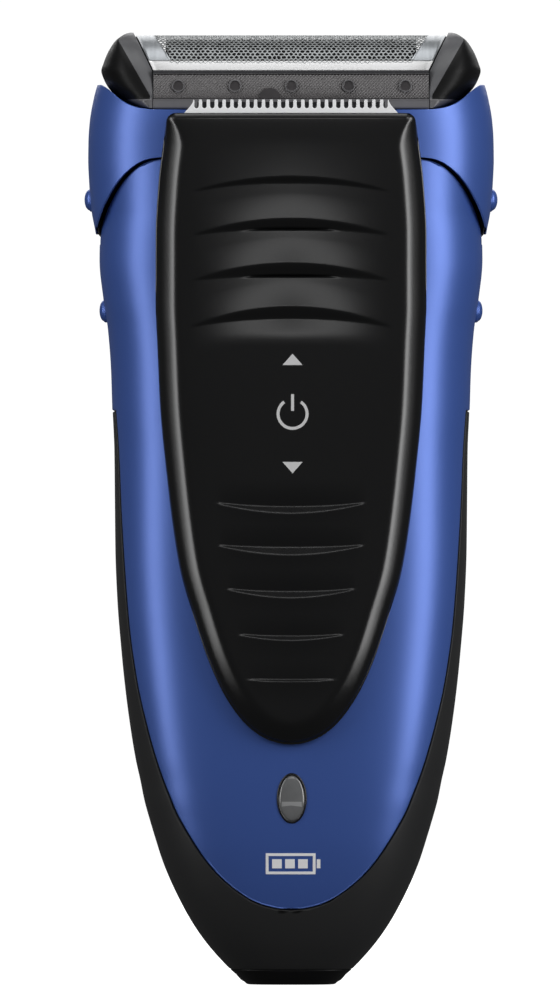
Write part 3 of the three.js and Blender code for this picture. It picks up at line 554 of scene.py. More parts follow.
def wing(sign, name, body, node):
    z_all = np.concatenate([[101.22], under[::1, 1], np.linspace(under[-1, 1], 117.72, 22)[1:], [117.79, 117.81], top_line[top_line[:, 1] > 117.82, 1]])
    z_all = np.unique(np.round(z_all, 4))
    lim = under[under[:, 0] > 13.9]
    S = []
    for z in z_all:
        if z < lim[-1, 1]:
            x_in = float(np.interp(z, lim[:, 1], lim[:, 0]))
        elif z < 117.8:
            x_in = 13.95
        else:
            x_in = float(np.interp(z, top_line[:, 1], top_line[:, 0]))
        w, df, dr = float(w_head(z)), float(d_front(z)), float(d_rear(z))
        x_in = min(x_in, w - 0.28)
        tR, tY = t_of_x(x_in, w), t_of_y(Y_PART, dr)
        skin = arc(z, tR, tY, 46, wf=w_head)[:, :2]
        xe = skin[-1, 0]
        r = 0.2
        # section polygon: inner wall, rounded edge, skin, rounded edge, rear wall
        y_in = skin[0, 1]
        n0 = max(2, int(np.searchsorted(skin[:, 0], x_in + r)))
        y_r = y_in + min(r, 0.45 * (Y_PART - y_in))
        poly = [(x_in, Y_PART - 0.02), (x_in, (Y_PART + y_r) / 2), (x_in, y_r)]
        x_r, y_s = np.interp(r, skin[:, 0] - x_in, skin[:, 0]), np.interp(x_in + r, skin[:, 0], skin[:, 1])
        for k in (0.25, 0.5, 0.75):
            c = math.pi / 2 * k
            poly.append((x_in + (x_r - x_in) * (1 - math.cos(c)), y_r + (y_s - y_r) * math.sin(c)))
        ss = np.concatenate([[0], np.cumsum(np.hypot(*np.diff(skin, axis=0).T))])
        s_from = float(np.interp(x_r, skin[:, 0], ss))
        s_to = ss[-1] - 0.2
        q = np.linspace(s_from, max(s_to, s_from + 0.02), 46)
        poly += list(zip(np.interp(q, ss, skin[:, 0]), np.interp(q, ss, skin[:, 1])))
        poly += [(xe - 0.04, Y_PART - 0.06), (xe - 0.2, Y_PART)]
        for k in (0.33, 0.66):
            poly.append((xe - 0.2 + (x_in - xe + 0.2) * k, Y_PART))
        S.append([(sign * a, b, z) for a, b in poly])
    S = np.array(S)
    if sign < 0:
        S = S[:, ::-1]
    loft_solid(name, S, BLUE, body, [node], "blue_shell", sharp=44)


wing(-1, "wing_left", "release_left", "release_button_left")
wing(1, "wing_right", "release_right", "release_button_right")


def pip(name, sign, z, body):
    x0 = float(w_head(z)) - 0.35 if z > 100 else float(w_body(z)) - 0.3
    rise = (27.88 - x0) if z > 100 else (25.86 - x0)
    prof = [(1.62, -0.25), (1.6, 0.30), (1.5, 0.42)] + [(1.42 * math.cos(a), 0.42 + (rise - 0.42) * math.sin(a)) for a in np.linspace(0.12, math.pi / 2, 12)]
    n = 40
    V = []
    for rr, h in prof[:-1]:
        for k in range(n):
            a = 2 * math.pi * k / n
            V.append((sign * (x0 + h), rr * math.cos(a), z + rr * math.sin(a)))
    F = grid_faces(len(prof) - 1, n, closed=True)
    V.append((sign * (x0 + rise), 0, z))
    tip = len(V) - 1
    last = (len(prof) - 2) * n
    F += [(last + k, last + (k + 1) % n, tip) for k in range(n)]
    F.append(tuple(range(n)))
    make(name, V, F, BLUE, body, slot="blue_shell", sharp=60)


pip("pip_wing_left", -1, 105.85, "release_left")
pip("pip_wing_right", 1, 105.85, "release_right")
pip("pip_body_left", -1, 90.9, "root")
pip("pip_body_right", 1, 90.9, "root")

# ------------------------------------------------------------------ slide plate
# upper finger steps: half width, z at the ends, z of the crest line, z of the lower line, depth, slit depth
UPPER = [(12.9, 106.84, 108.76, 107.95, 0.34, 0.0), (12.9, 100.98, 103.15, 101.75, 0.56, 0.42), (12.9, 94.9, 97.2, 95.45, 0.62, 0.5), (13.4, 88.6, 91.35, 89.7, 0.52, 0.0)]
LOWER = [(9.9, 64.95, 64.5, 63.55, 0.26), (9.7, 59.26, 59.05, 57.95, 0.30), (8.5, 53.4, 53.1, 52.2, 0.26), (7.0, 47.3, 47.1, 46.5, 0.20), (6.1, 41.25, 41.2, 41.0, 0.10)]


def plate_relief(x, z):
    """Depth below the plain face, mm, positive into the plate."""
    d = np.zeros_like(x)
    lip = 0.24
    for i, (hw, z_end, z_top, z_bot, h, slit) in enumerate(UPPER):
        u = np.clip(np.abs(x) / hw, 0, 1)
        line = z_end + (z_top - z_end) * (1 - u * u)
        low = z_end - 0.02 + (z_bot - z_end) * (1 - u ** 2.4)
        fade = np.clip(1 - u ** 1.5, 0, 1)
        thick = np.maximum(line - low, 0.02)
        run = 5.2 if i == 0 else 3.4
        above = np.clip((z - line) / run, 0, 1)
        lens = np.clip((line - z) / thick, 0, 1)
        below = np.clip((low - z) / (5.2 if i < 3 else 2.6), 0, 1)
        rise = np.where(z >= line, -lip * (1 - above) ** 1.6, 0.0)
        ease = lens * lens * (3 - 2 * lens)
        drop = np.where((z < line) & (z >= low), -lip + (lip + h) * (0.55 * ease + 0.45 * lens), 0.0)
        back = np.where(z < low, h * (1 - below) ** 1.12, 0.0)
        cut = slit * np.clip(1 - (np.abs(x) / 6.6) ** 2, 0, 1) * np.exp(-((z - low - 0.03) / 0.11) ** 2)
        d += fade * (rise + drop + back) + cut
    for hw, z_end, z_top, z_bot, h in LOWER:
        u = np.clip(np.abs(x) / hw, 0, 1)
        line = z_end + (z_top - z_end) * (1 - u * u)
        low = z_end + (z_bot - z_end) * (1 - u * u)
        fade = np.clip(1 - u, 0, 1) ** 0.45
        thick = np.maximum(line - low, 0.02)
        above = np.clip((z - line) / 3.0, 0, 1)
        lens = np.clip((line - z) / thick, 0, 1)
        below = np.clip((low - z) / 3.0, 0, 1)
        back = np.where(z >= line, h * (1 - above) ** 2, 0.0)
        drop = np.where((z < line) & (z >= low), h * (1 - lens) - 0.10 * lens, 0.0)
        rise = np.where(z < low, -0.10 * (1 - below) ** 2, 0.0)
        d += fade * (rise + drop + back)
    return d


def plate_face_y(x):
    return -16.6 * unit(x / 30.0)


def plate_back_y(x, z):
    y = np.zeros_like(x) - 5.0
    for k in range(8):
        zz = np.minimum(121.3, z + TRAVEL * k / 7)
        w = np.where(zz > 100.6, w_head(zz), w_body(zz))
        y = np.minimum(y, -d_front(zz) * unit(x / w) - 0.40)
    return np.where((z > 101.0) & (np.abs(x) < 15.0), np.minimum(y, -15.0), y)


def outline_points():
    z = np.concatenate([Z_PTIP + (Z_PTOP - Z_PTIP) * np.linspace(0, 1, 500) ** 2.0])
    h = w_plate(z)
    top = np.stack([np.linspace(h[-1], 0, 60), np.full(60, Z_PTOP)], 1)
    return np.vstack([np.stack([h, z], 1), top])


def dist_to(pts, x, z):
    out = np.empty(x.size)
    a, b = pts[:-1], pts[1:]
    ab = b - a
    L = np.maximum((ab ** 2).sum(1), 1e-12)
    X = np.stack([np.abs(x.ravel()), z.ravel()], 1)
    for s in range(0, len(X), 2000):
        q = X[s:s + 2000, None, :] - a[None]
        t = np.clip((q * ab[None]).sum(2) / L, 0, 1)
        dd = q - t[..., None] * ab[None]
        out[s:s + 2000] = np.sqrt((dd ** 2).sum(2).min(1))
    return out.reshape(x.shape)


def slide_plate():
    zr = np.unique(np.round(np.concatenate([
        Z_PTIP + 0.004 + 3.0 * np.linspace(0, 1, 22) ** 2.2, np.arange(35.5, 40.4, 0.35), np.arange(40.4, 66.0, 0.15), np.arange(66, 88, 0.8),
        np.arange(88, 109.6, 0.14), np.arange(109.6, 114.6, 0.4), Z_PTOP - 2.7 * (1 - np.linspace(0, 1, 30)) ** 1.8]), 4))
    nc = 121
    t = np.linspace(-1, 1, nc)
    fr = np.sin(np.pi / 2 * t) * 0.62 + t * 0.38
    h = w_plate(zr)
    X = h[:, None] * fr[None]
    Z = np.repeat(zr[:, None], nc, 1)
    out = outline_points()
    r = 2.5
    D = dist_to(out, X, Z)
    q = np.linspace(0, 3.4, 400)                    # slope of the rounded border against the distance from the outline
    g = np.interp(q, [0, 0.25, 0.6, 0.95, 1.2, 1.7, 2.2, 2.6, 3.0, 3.4], [2.6, 1.5, 0.98, 0.74, 0.63, 0.56, 0.46, 0.24, 0.06, 0.0])
    G = np.concatenate([np.cumsum((g * (q[1] - q[0]))[::-1])[::-1], [0.0]])[:-1]
    k = 1.0 - 0.72 * np.clip((Z - (Z_PTOP - 4.5)) / 3.8, 0, 1) ** 1.5
    fil = k * np.interp(D / k, q, G, right=0.0)
    edge_fade = np.clip((D - 2.2) / 2.4, 0, 1)
    Y = plate_face_y(X) + fil + plate_relief(X, Z) * edge_fade
    Y = np.minimum(Y, plate_back_y(X, Z) - 0.12)
    front = np.stack([X, Y, Z], 2)
    back = np.stack([X * 0.992, plate_back_y(X * 0.992, Z), Z], 2)
    nr = len(zr)
    V = np.concatenate([front.reshape(-1, 3), back.reshape(-1, 3)])
    nb = nr * nc
    F = grid_faces(nr, nc)
    F += [tuple(nb + i for i in reversed(f)) for f in grid_faces(nr, nc)]
    for i in range(nr - 1):
        a, b = i * nc, (i + 1) * nc
        F.append((a, b, nb + b, nb + a))
        a, b = i * nc + nc - 1, (i + 1) * nc + nc - 1
        F.append((b, a, nb + a, nb + b))
    for j in range(nc - 1):
        F.append((j, nb + j, nb + j + 1, j + 1))
        a = (nr - 1) * nc + j
        F.append((a, a + 1, nb + a + 1, nb + a))
    make("slide_plate", V, F, PLATE, "slide", ["switch_plate"], "gloss_black", sharp=70)


slide_plate()


def decal(name, polys, y_of, thick, mat, body, slot, seg=0.35):
    """Thin printed marks as closed slabs that follow the face under them. polys: outlines in X, Z (mm)."""
    V, F = [], []
    for poly in polys:
        poly = np.asarray(poly, float)
        n = len(poly)
        base = len(V)
        for x, z in poly:
            V.append((x, y_of(x, z) - thick, z))
        for x, z in poly:
            V.append((x, y_of(x, z) + 0.02, z))
        F.append(tuple(range(base, base + n)))
        F.append(tuple(range(base + n, base + 2 * n))[::-1])
        for k in range(n):
            j = (k + 1) % n
            F.append((base + k, base + n + k, base + n + j, base + j))
    return make(name, V, F, mat, body, slot=slot, smooth=False)


def ring_poly(cx, cz, r0, r1, a0, a1, n):
    """Short quads along a ring sector, so that they follow the face."""
    out = []
    for k in range(n):
        a, b = a0 + (a1 - a0) * k / n, a0 + (a1 - a0) * (k + 1) / n
        out.append([(cx + r0 * math.cos(a), cz + r0 * math.sin(a)), (cx + r1 * math.cos(a), cz + r1 * math.sin(a)),
                    (cx + r1 * math.cos(b), cz + r1 * math.sin(b)), (cx + r0 * math.cos(b), cz + r0 * math.sin(b))])
    return out


face_y = lambda x, z: float(plate_face_y(np.float64(x)) + plate_relief(np.array([float(x)]), np.array([float(z)]))[0])
CX = 0.2
marks = [[(CX - 1.35, 83.45), (CX + 1.35, 83.45), (CX, 84.97)], [(CX - 1.35, 70.45), (CX, 68.92), (CX + 1.35, 70.45)]]
decal("slide_arrows", marks, face_y, 0.02, MARK, "slide", "gloss_black")
power = ring_poly(CX, 76.9, 1.75, 2.15, math.radians(125), math.radians(415), 30) + [[(CX - 0.2, 77.3), (CX + 0.2, 77.3), (CX + 0.2, 79.55), (CX - 0.2, 79.55)]]
decal("slide_power_mark", power, face_y, 0.02, MARK, "slide", "gloss_black")


# ------------------------------------------------------------------ charge window
def body_y(x, z):
    return float(-d_front(z) * unit(x / w_body(z)))


def charge_window():
    zc, a, b = 25.25, 1.90, 3.28
    n, rings = 72, 16
    V, M = [], []
    F = []
    for i in range(rings):
        k = i / (rings - 1)
        for j in range(n):
            t = 2 * math.pi * j / n
            x, z = 0.1 + (a - 0.2) * math.cos(t) * (1 - k), zc + (b - 0.2) * math.sin(t) * (1 - k)
            V.append((x, body_y(x, z) - 0.03 - 0.30 * math.sqrt(max(0, 1 - (1 - k) ** 2)), z))
    F += grid_faces(rings, n, closed=True)
    base = len(V)
    for j in range(n):
        t = 2 * math.pi * j / n
        x, z = 0.1 + (a - 0.2) * math.cos(t), zc + (b - 0.2) * math.sin(t)
        V.append((x, body_y(x, z) + 0.9, z))
    F += [(base + j, base + (j + 1) % n, (j + 1) % n, j) for j in range(n)]
    F.append(tuple(range(base, base + n))[::-1])
    o = make("window_lens", V, F, LENS, "root", ["charge_window"], "grey_lens", sharp=60)
    V, F = [], []
    prof = [(-0.28, 0.3), (-0.28, -0.02), (-0.22, -0.10), (-0.12, -0.15), (0.0, -0.14), (0.08, -0.06), (0.11, 0.0), (0.11, 0.3)]
    for d, h in prof:
        for j in range(n):
            t = 2 * math.pi * j / n
            x, z = 0.1 + (a + d + 0.02) * math.cos(t), zc + (b + d + 0.02) * math.sin(t)
            V.append((x, body_y(x, z) + h, z))
    m = len(prof)
    for i in range(m):
        for j in range(n):
            p, q = i * n, ((i + 1) % m) * n
            F.append((p + j, p + (j + 1) % n, q + (j + 1) % n, q + j))
    make("window_rim", V, F, RIM, "root", slot="grey_lens", sharp=60)
    band = []
    ys = lambda x, z: body_y(x, z) - 0.03 - 0.30 * math.sqrt(max(0, 1 - (math.hypot((x - 0.1) / (a - 0.2), (z - zc) / (b - 0.2))) ** 2))
    for k in range(14):
        x0, x1 = -1.25 + 2.7 * k / 14, -1.25 + 2.7 * (k + 1) / 14
        band.append([(x0, zc - 0.95 - 0.12 * abs(x0)), (x1, zc - 0.95 - 0.12 * abs(x1)), (x1, zc - 0.45), (x0, zc - 0.45)])
    decal("window_band", band, ys, 0.012, LENS_L, "root", "grey_lens")


charge_window()

# generic battery symbol on the blue front
bz, bx = 16.45, 0.2
bat = []
for (x0, x1, z0, z1) in [(-3.6, 3.1, 1.05, 1.42), (-3.6, 3.1, -1.42, -1.05), (-3.6, -3.22, -1.05, 1.05), (2.72, 3.1, -1.05, 1.05), (3.25, 3.75, -0.6, 0.6),
                         (-2.75, -1.45, -0.62, 0.62), (-1.0, 0.3, -0.62, 0.62), (0.75, 2.05, -0.62, 0.62)]:
    n = max(1, int((x1 - x0) / 0.5))
    for k in range(n):
        xa, xb = bx + x0 + (x1 - x0) * k / n, bx + x0 + (x1 - x0) * (k + 1) / n
        bat.append([(xa, bz + z0), (xb, bz + z0), (xb, bz + z1), (xa, bz + z1)])
decal("battery_symbol", bat, body_y, 0.03, MARK_W, "root", "blue_shell")


# ------------------------------------------------------------------ trimmer comb and blade
def comb_piece(name, node, half, zb, z_root, z_tip, pitch, n, gap, y0, y1, mat, body, slot, flank=None, foot=None):
    pts = [(-half, zb), (half, zb)]
    if flank:
        pts += [(half, flank[0])]
        for k in np.linspace(0, 1, 8)[1:]:
            pts.append((half - (half - flank[1]) * (1 - (1 - k) ** 1.7), flank[0] + (z_tip - flank[0]) * k ** 0.85))
    else:
        pts += [(half, z_tip)]
    for i in range(n - 1):                           # gaps from right to left
        c = (n - 2) / 2 * pitch - i * pitch
        g = gap / 2
        pts += [(c + g + 0.02, z_tip), (c + g - 0.02, z_tip - 0.25), (c + g * 0.94, z_root + g)]
        for k in range(1, 6):
            a = math.pi * k / 6
            pts.append((c + g * 0.94 * math.cos(a), z_root + g - g * math.sin(a)))
        pts += [(c - g * 0.94, z_root + g), (c - g + 0.02, z_tip - 0.25), (c - g - 0.02, z_tip)]
    if flank:
        for k in np.linspace(1, 0, 8)[:-1]:
            pts.append((-half + (half - flank[1]) * (1 - (1 - k) ** 1.7), flank[0] + (z_tip - flank[0]) * k ** 0.85))
        pts += [(-half, flank[0])]
    else:
        pts += [(-half, z_tip)]
    pts = [pts[0]] + [p for a, p in zip(pts, pts[1:]) if math.hypot(p[0] - a[0], p[1] - a[1]) > 1e-4]
    n2 = len(pts)
    V = [(x, y0, z) for x, z in pts] + [(x, y1, z) for x, z in pts]
    F = [tuple(range(n2)), tuple(range(n2, 2 * n2))[::-1]]
    F += [(k, n2 + k, n2 + (k + 1) % n2, (k + 1) % n2) for k in range(n2)]
    o = make(name, V, F, mat, body, [node], slot, sharp=30)
    m = o.modifiers.new("edge", "BEVEL")
    m.width = 0.05 * MM
    m.segments = 2
    m.limit_method = "ANGLE"
    m.angle_limit = math.radians(60)
    return o


comb_piece("comb_teeth", "trimmer_comb", 14.4, 106.2, 117.95, 119.12, 1.058, 26, 0.64, -14.55, -14.17, COMB_PAINTED_REFLECTION, "slide", "comb_steel", flank=(117.25, 13.1))
comb_piece("blade_teeth", "trimmer_blade", 12.6, 108.6, 117.75, 118.85, 1.058, 23, 0.42, -13.93, -13.62, BLADE, "trimmer", "dark_steel")

# ------------------------------------------------------------------ foil cassette
prof_pts = np.array([(118.05, 12.5), (119.4, 12.25), (120.6, 11.85), (122.0, 11.3), (123.3, 10.75), (124.6, 9.95), (125.8, 8.9), (126.9, 7.5), (127.7, 6.0), (128.15, 4.7), (128.38, 3.6)])
sil_pts = np.array([(118.05, 19.6), (118.14, 20.2), (118.4, 21.05), (118.8, 21.98), (119.3, 22.9), (120.2, 23.95), (121.1, 24.72), (122.2, 25.3), (123.27, 25.62), (124.3, 25.32), (125.44, 24.88),
                    (126.4, 24.36), (127.25, 23.75), (127.9, 22.95), (128.25, 22.35), (128.38, 21.9)])
half_depth = pchip([tuple(p) for p in prof_pts])
sil = pchip([tuple(p) for p in sil_pts])


def foil_edge(z):
    return 18.62 + max(0.0, z - 122.95) * (21.25 - 18.62) / (128.4 - 122.95)


def cheek(sign):
    rows = np.unique(np.round(np.concatenate([np.linspace(118.05, 119.4, 9), np.linspace(119.4, 127.4, 34), np.linspace(127.4, 128.38, 12)]), 3))
    S = []
    for z in rows:
        xi, xs, hd = foil_edge(z), float(sil(z)), float(half_depth(z))
        lip = 0.22 if z < 119.15 else 0.22 * max(0.0, 1 - (z - 119.15) / 0.15)
        xr = min(max(19.0 + 0.571 * (z - 119.8), xi + 0.35), xs - 0.35)
        tilt = 0.75 * max(0.0, min(1.0, (z - 119.6) / 1.2))
        hd2 = hd + lip
        xs2 = xs
        half = []
        yi = hd2 - tilt * (xr - xi) / 2.3
        half += [(xi, 0.0), (xi, yi * 0.5), (xi, yi - 0.12), (xi + 0.1, yi)]
        for k in (0.35, 0.7):
            half.append((xi + 0.1 + (xr - xi - 0.1) * k, yi + (hd2 - yi) * k))
        m = 26
        for k in range(m + 1):
            a = math.pi / 2 * k / m
            e = 2 / 2.5
            half.append((xr + (xs2 - xr) * math.sin(a) ** e, hd2 * math.cos(a) ** e * 1.0))
        half = np.array(half)
        front = [(x, Y0 - y) for x, y in half]
        rear = [(x, Y0 + y) for x, y in half[::-1][1:-1]]
        S.append([(sign * x, y, z) for x, y in front + rear])
    S = np.array(S)
    if sign < 0:
        S = S[:, ::-1]
    nr, nc = S.shape[:2]
    F = grid_faces(nr, nc, closed=True)
    F.append(tuple(range(nc))[::-1])
    F.append(tuple(range((nr - 1) * nc, nr * nc)))
    FM = []
    for f in F[:-2]:
        k = [i % nc for i in f]
        lo_k, hi_k = min(k), max(k)
        if sign < 0:
            lo_k, hi_k = nc - 1 - hi_k, nc - 1 - lo_k
        zc = np.mean([S[i // nc, i % nc][2] for i in f])
        inner = hi_k <= 6 or lo_k >= nc - 6
        # inner facets take the painted-light copy, outer facets the painted-shade copy, the lower lip (below z 119.2)
        # the lighter painted-light copy
        FM.append(2 if zc < 119.2 else (0 if inner else 1))
    return make("cheek_left" if sign < 0 else "cheek_right", S.reshape(-1, 3), F, None, "cassette", ["foil_frame"], "smoked_plastic", sharp=32,
                mats=[CHEEK_FACET_PAINTED_LIGHT, CHEEK_FACET_PAINTED_SHADE, SMOKE_PAINTED_LIGHT], face_mats=FM + [1, 1])


cheek(-1)
cheek(1)


def end_shade_sheet(sign):
    """Wall that carries the end of the foil, just under it, coloured near black as painted shade in the gap beside the
    cheek.
    """
    n = 48
    t = np.linspace(0, math.pi, n)
    y = np.concatenate([[Y0 - 8.02], Y0 - 8.02 * np.cos(t), [Y0 + 8.02]])
    z = np.concatenate([[119.4], 122 + 5.93 * np.sin(t), [119.4]])
    V = []
    for dx in (0.16, -0.3):
        for a, b in zip(y, z):
            V.append((sign * (foil_edge(b) + dx), a, b))
    m = len(y)
    F = [tuple(range(m)), tuple(range(m, 2 * m))[::-1]]
    F += [(k, m + k, m + (k + 1) % m, (k + 1) % m) for k in range(m)]
    make("foil_end_shade_left" if sign < 0 else "foil_end_shade_right", V, F, SEAM_PAINTED_SHADE, "cassette", ["foil_frame"], "smoked_plastic", sharp=40)


end_shade_sheet(-1)
end_shade_sheet(1)


def rail(name, side, z0, z1, y_out, thick, mat, r=0.15, x1=18.55, nx=2):
    """A straight bar between the cheeks; side -1 is the front. y_out(z) is its outer face, measured from the middle."""
    prof = []
    zs = np.linspace(z0, z1, 8)
    prof += [(y_out(z0) - thick, z0)]
    prof += [(y_out(z0) - r, z0), (y_out(z0 + r * 0.3) - r * 0.3, z0 + r * 0.25)]
    prof += [(y_out(z), z) for z in np.linspace(z0 + r, z1 - r, 6)]
    prof += [(y_out(z1 - r * 0.3) - r * 0.3, z1 - r * 0.25), (y_out(z1) - r, z1)]
    prof += [(y_out(z1) - thick, z1)]
    S = []
    for x in np.linspace(-x1, x1, nx):
        S.append([(x, Y0 + side * y, z) for y, z in prof])
    return loft_solid(name, np.array(S), mat, "cassette", ["foil_frame"], "smoked_plastic", sharp=40)


hd = lambda z: float(half_depth(z))
for side, tag in ((-1, "front"), (1, "rear")):
    # the lower lip takes the lighter copy of the smoked plastic: painted light
    rail(f"frame_lip_{tag}", side, 117.95, 119.28, lambda z: hd(z) + 0.16, 2.2, SMOKE_PAINTED_LIGHT)
    rail(f"frame_top_rail_{tag}", side, 122.62, 123.2, lambda z: hd(z) + 0.02, 2.4, SMOKE, r=0.12)
    rail(f"frame_wall_{tag}", side, 119.28, 122.62, lambda z: hd(z) - 0.35, 0.9, SMOKE)

    # knurled band: small diamond pyramids over the whole wall
    V, F = [], []
    nx, nz = 168, 14
    x0, x1, z0, z1 = -18.5, 18.5, 119.36, 122.58
    for i in range(nz + 1):
        for j in range(nx + 1):
            z = z0 + (z1 - z0) * i / nz
            x = x0 + (x1 - x0) * j / nx
            bump = 0.11 if (i + j) % 2 == 0 else 0.0
            V.append((x, Y0 + side * (hd(z) - 0.22 + bump), z))
    for i in range(nz):
        for j in range(nx):
            a = i * (nx + 1) + j
            b, c, d = a + 1, a + nx + 2, a + nx + 1
            F += [(a, b, d), (b, c, d)] if (i + j) % 2 else [(a, b, c), (a, c, d)]
    nb = len(V)
    for i in range(nz + 1):
        for j in range(nx + 1):
            z = z0 + (z1 - z0) * i / nz
            V.append((x0 + (x1 - x0) * j / nx, Y0 + side * (hd(z) - 0.34), z))
    F += [tuple(nb + k for k in reversed(f)) for f in grid_faces(nz + 1, nx + 1)]
    w = nx + 1
    edge = [j for j in range(nx)] + [nx + w * i for i in range(nz)] + [nz * w + nx - j for j in range(nx)] + [w * (nz - i) for i in range(nz)]
    for p, q in zip(edge, edge[1:] + edge[:1]):
        F.append((p, q, nb + q, nb + p))
    make(f"knurl_band_{tag}", V, F, KNURL, "cassette", ["foil_frame"], "smoked_plastic", smooth=False)
    # round pegs; the raised rim takes the lighter copy of the smoked plastic, a painted highlight
    for k, px in enumerate([178.6, 235.1, 291.4, 348.4, 404.9]):
        cx = (px - 291) * 0.135
        V, F = [], []
        n = 32
        pr = [(0.86, -0.35), (0.86, 0.0), (0.80, 0.05), (0.72, 0.05), (0.68, -0.02), (0.66, -0.10), (0.60, -0.12), (0.3, -0.10), (0.02, -0.09)]
        for rr, h in pr:
            for j in range(n):
                a = 2 * math.pi * j / n
                z = 121.03 + rr * math.sin(a)
                V.append((cx + rr * math.cos(a), Y0 + side * (hd(z) + 0.07 + h), z))
        F = grid_faces(len(pr), n, closed=True)
        F.append(tuple(range(n))[::-1])
        F.append(tuple(range((len(pr) - 1) * n, len(pr) * n)))
        fm = [1 if i // n >= 3 else 0 for i in range(len(F) - 2)] + [0, 1]
        make(f"peg_{tag}_{k + 1}", V, F, None, "cassette", ["foil_frame"], "smoked_plastic", mats=[SMOKE_PAINTED_LIGHT, PEG], face_mats=fm, sharp=50, merge=False)

# black boxes in the white head frame's place under the cassette ends: painted shade in the gap above the wings
for s_, tag in ((-1, "left"), (1, "right")):
    box_bevel(f"deck_shade_wall_{tag}", (min(s_ * 12.9, s_ * 18.35), 3.8, 117.0), (max(s_ * 12.9, s_ * 18.35), 4.6, 118.6), 0.1, BASE, "root", replaces=["head_frame"], slot="white_plastic")

# half-round dark boss at the foot of the band
t_ = np.linspace(0, math.pi, 22)
for side, tag in ((-1, "front"), (1, "rear")):
    V = [(-2.84 + 1.42 * math.cos(a), Y0 + side * (hd(119.36 + 1.42 * math.sin(a)) + h), 119.36 + 1.42 * math.sin(a)) for h in (0.03, -0.3) for a in t_]
    m_ = len(t_)
    F = [tuple(range(m_)), tuple(range(m_, 2 * m_))[::-1]] + [(k, m_ + k, m_ + (k + 1) % m_, (k + 1) % m_) for k in range(m_)]
    make(f"band_boss_{tag}", V, F, PEG, "cassette", slot="smoked_plastic", sharp=40)

# ------------------------------------------------------------------ perforated foil
FA, FZ, FH = 8.2, 122.0, 6.1


def foil_curve(n=400):
    """Arc-length table of the foil section: straight skirt, arch, straight skirt."""
    t = np.linspace(0, math.pi, n)
    y = -FA * np.cos(t)
    z = FZ + FH * np.sin(t)
    y = np.concatenate([[-FA], y, [FA]])
    z = np.concatenate([[120.8], z, [120.8]])
    s = np.concatenate([[0], np.cumsum(np.hypot(np.diff(y), np.diff(z)))])
    return s, y, z


FS, FY, FZZ = foil_curve()
SM = FS[-1] / 2


def foil_point(x, s, lift=0.0):
    """x along, s along the section from the apex (front negative)."""
    q = np.clip(SM + s, 0, FS[-1])
    y, z = np.interp(q, FS, FY), np.interp(q, FS, FZZ)
    e = 0.02
    y2, z2 = np.interp(np.clip(q + e, 0, FS[-1]), FS, FY), np.interp(np.clip(q + e, 0, FS[-1]), FS, FZZ)
    y1, z1 = np.interp(np.clip(q - e, 0, FS[-1]), FS, FY), np.interp(np.clip(q - e, 0, FS[-1]), FS, FZZ)
    ty, tz = y2 - y1, z2 - z1
    L = np.hypot(ty, tz) + 1e-9
    return np.stack([x, Y0 + y - tz / L * lift, z + ty / L * lift], -1)


def foil_half(z):
    return foil_edge(z) - 0.22


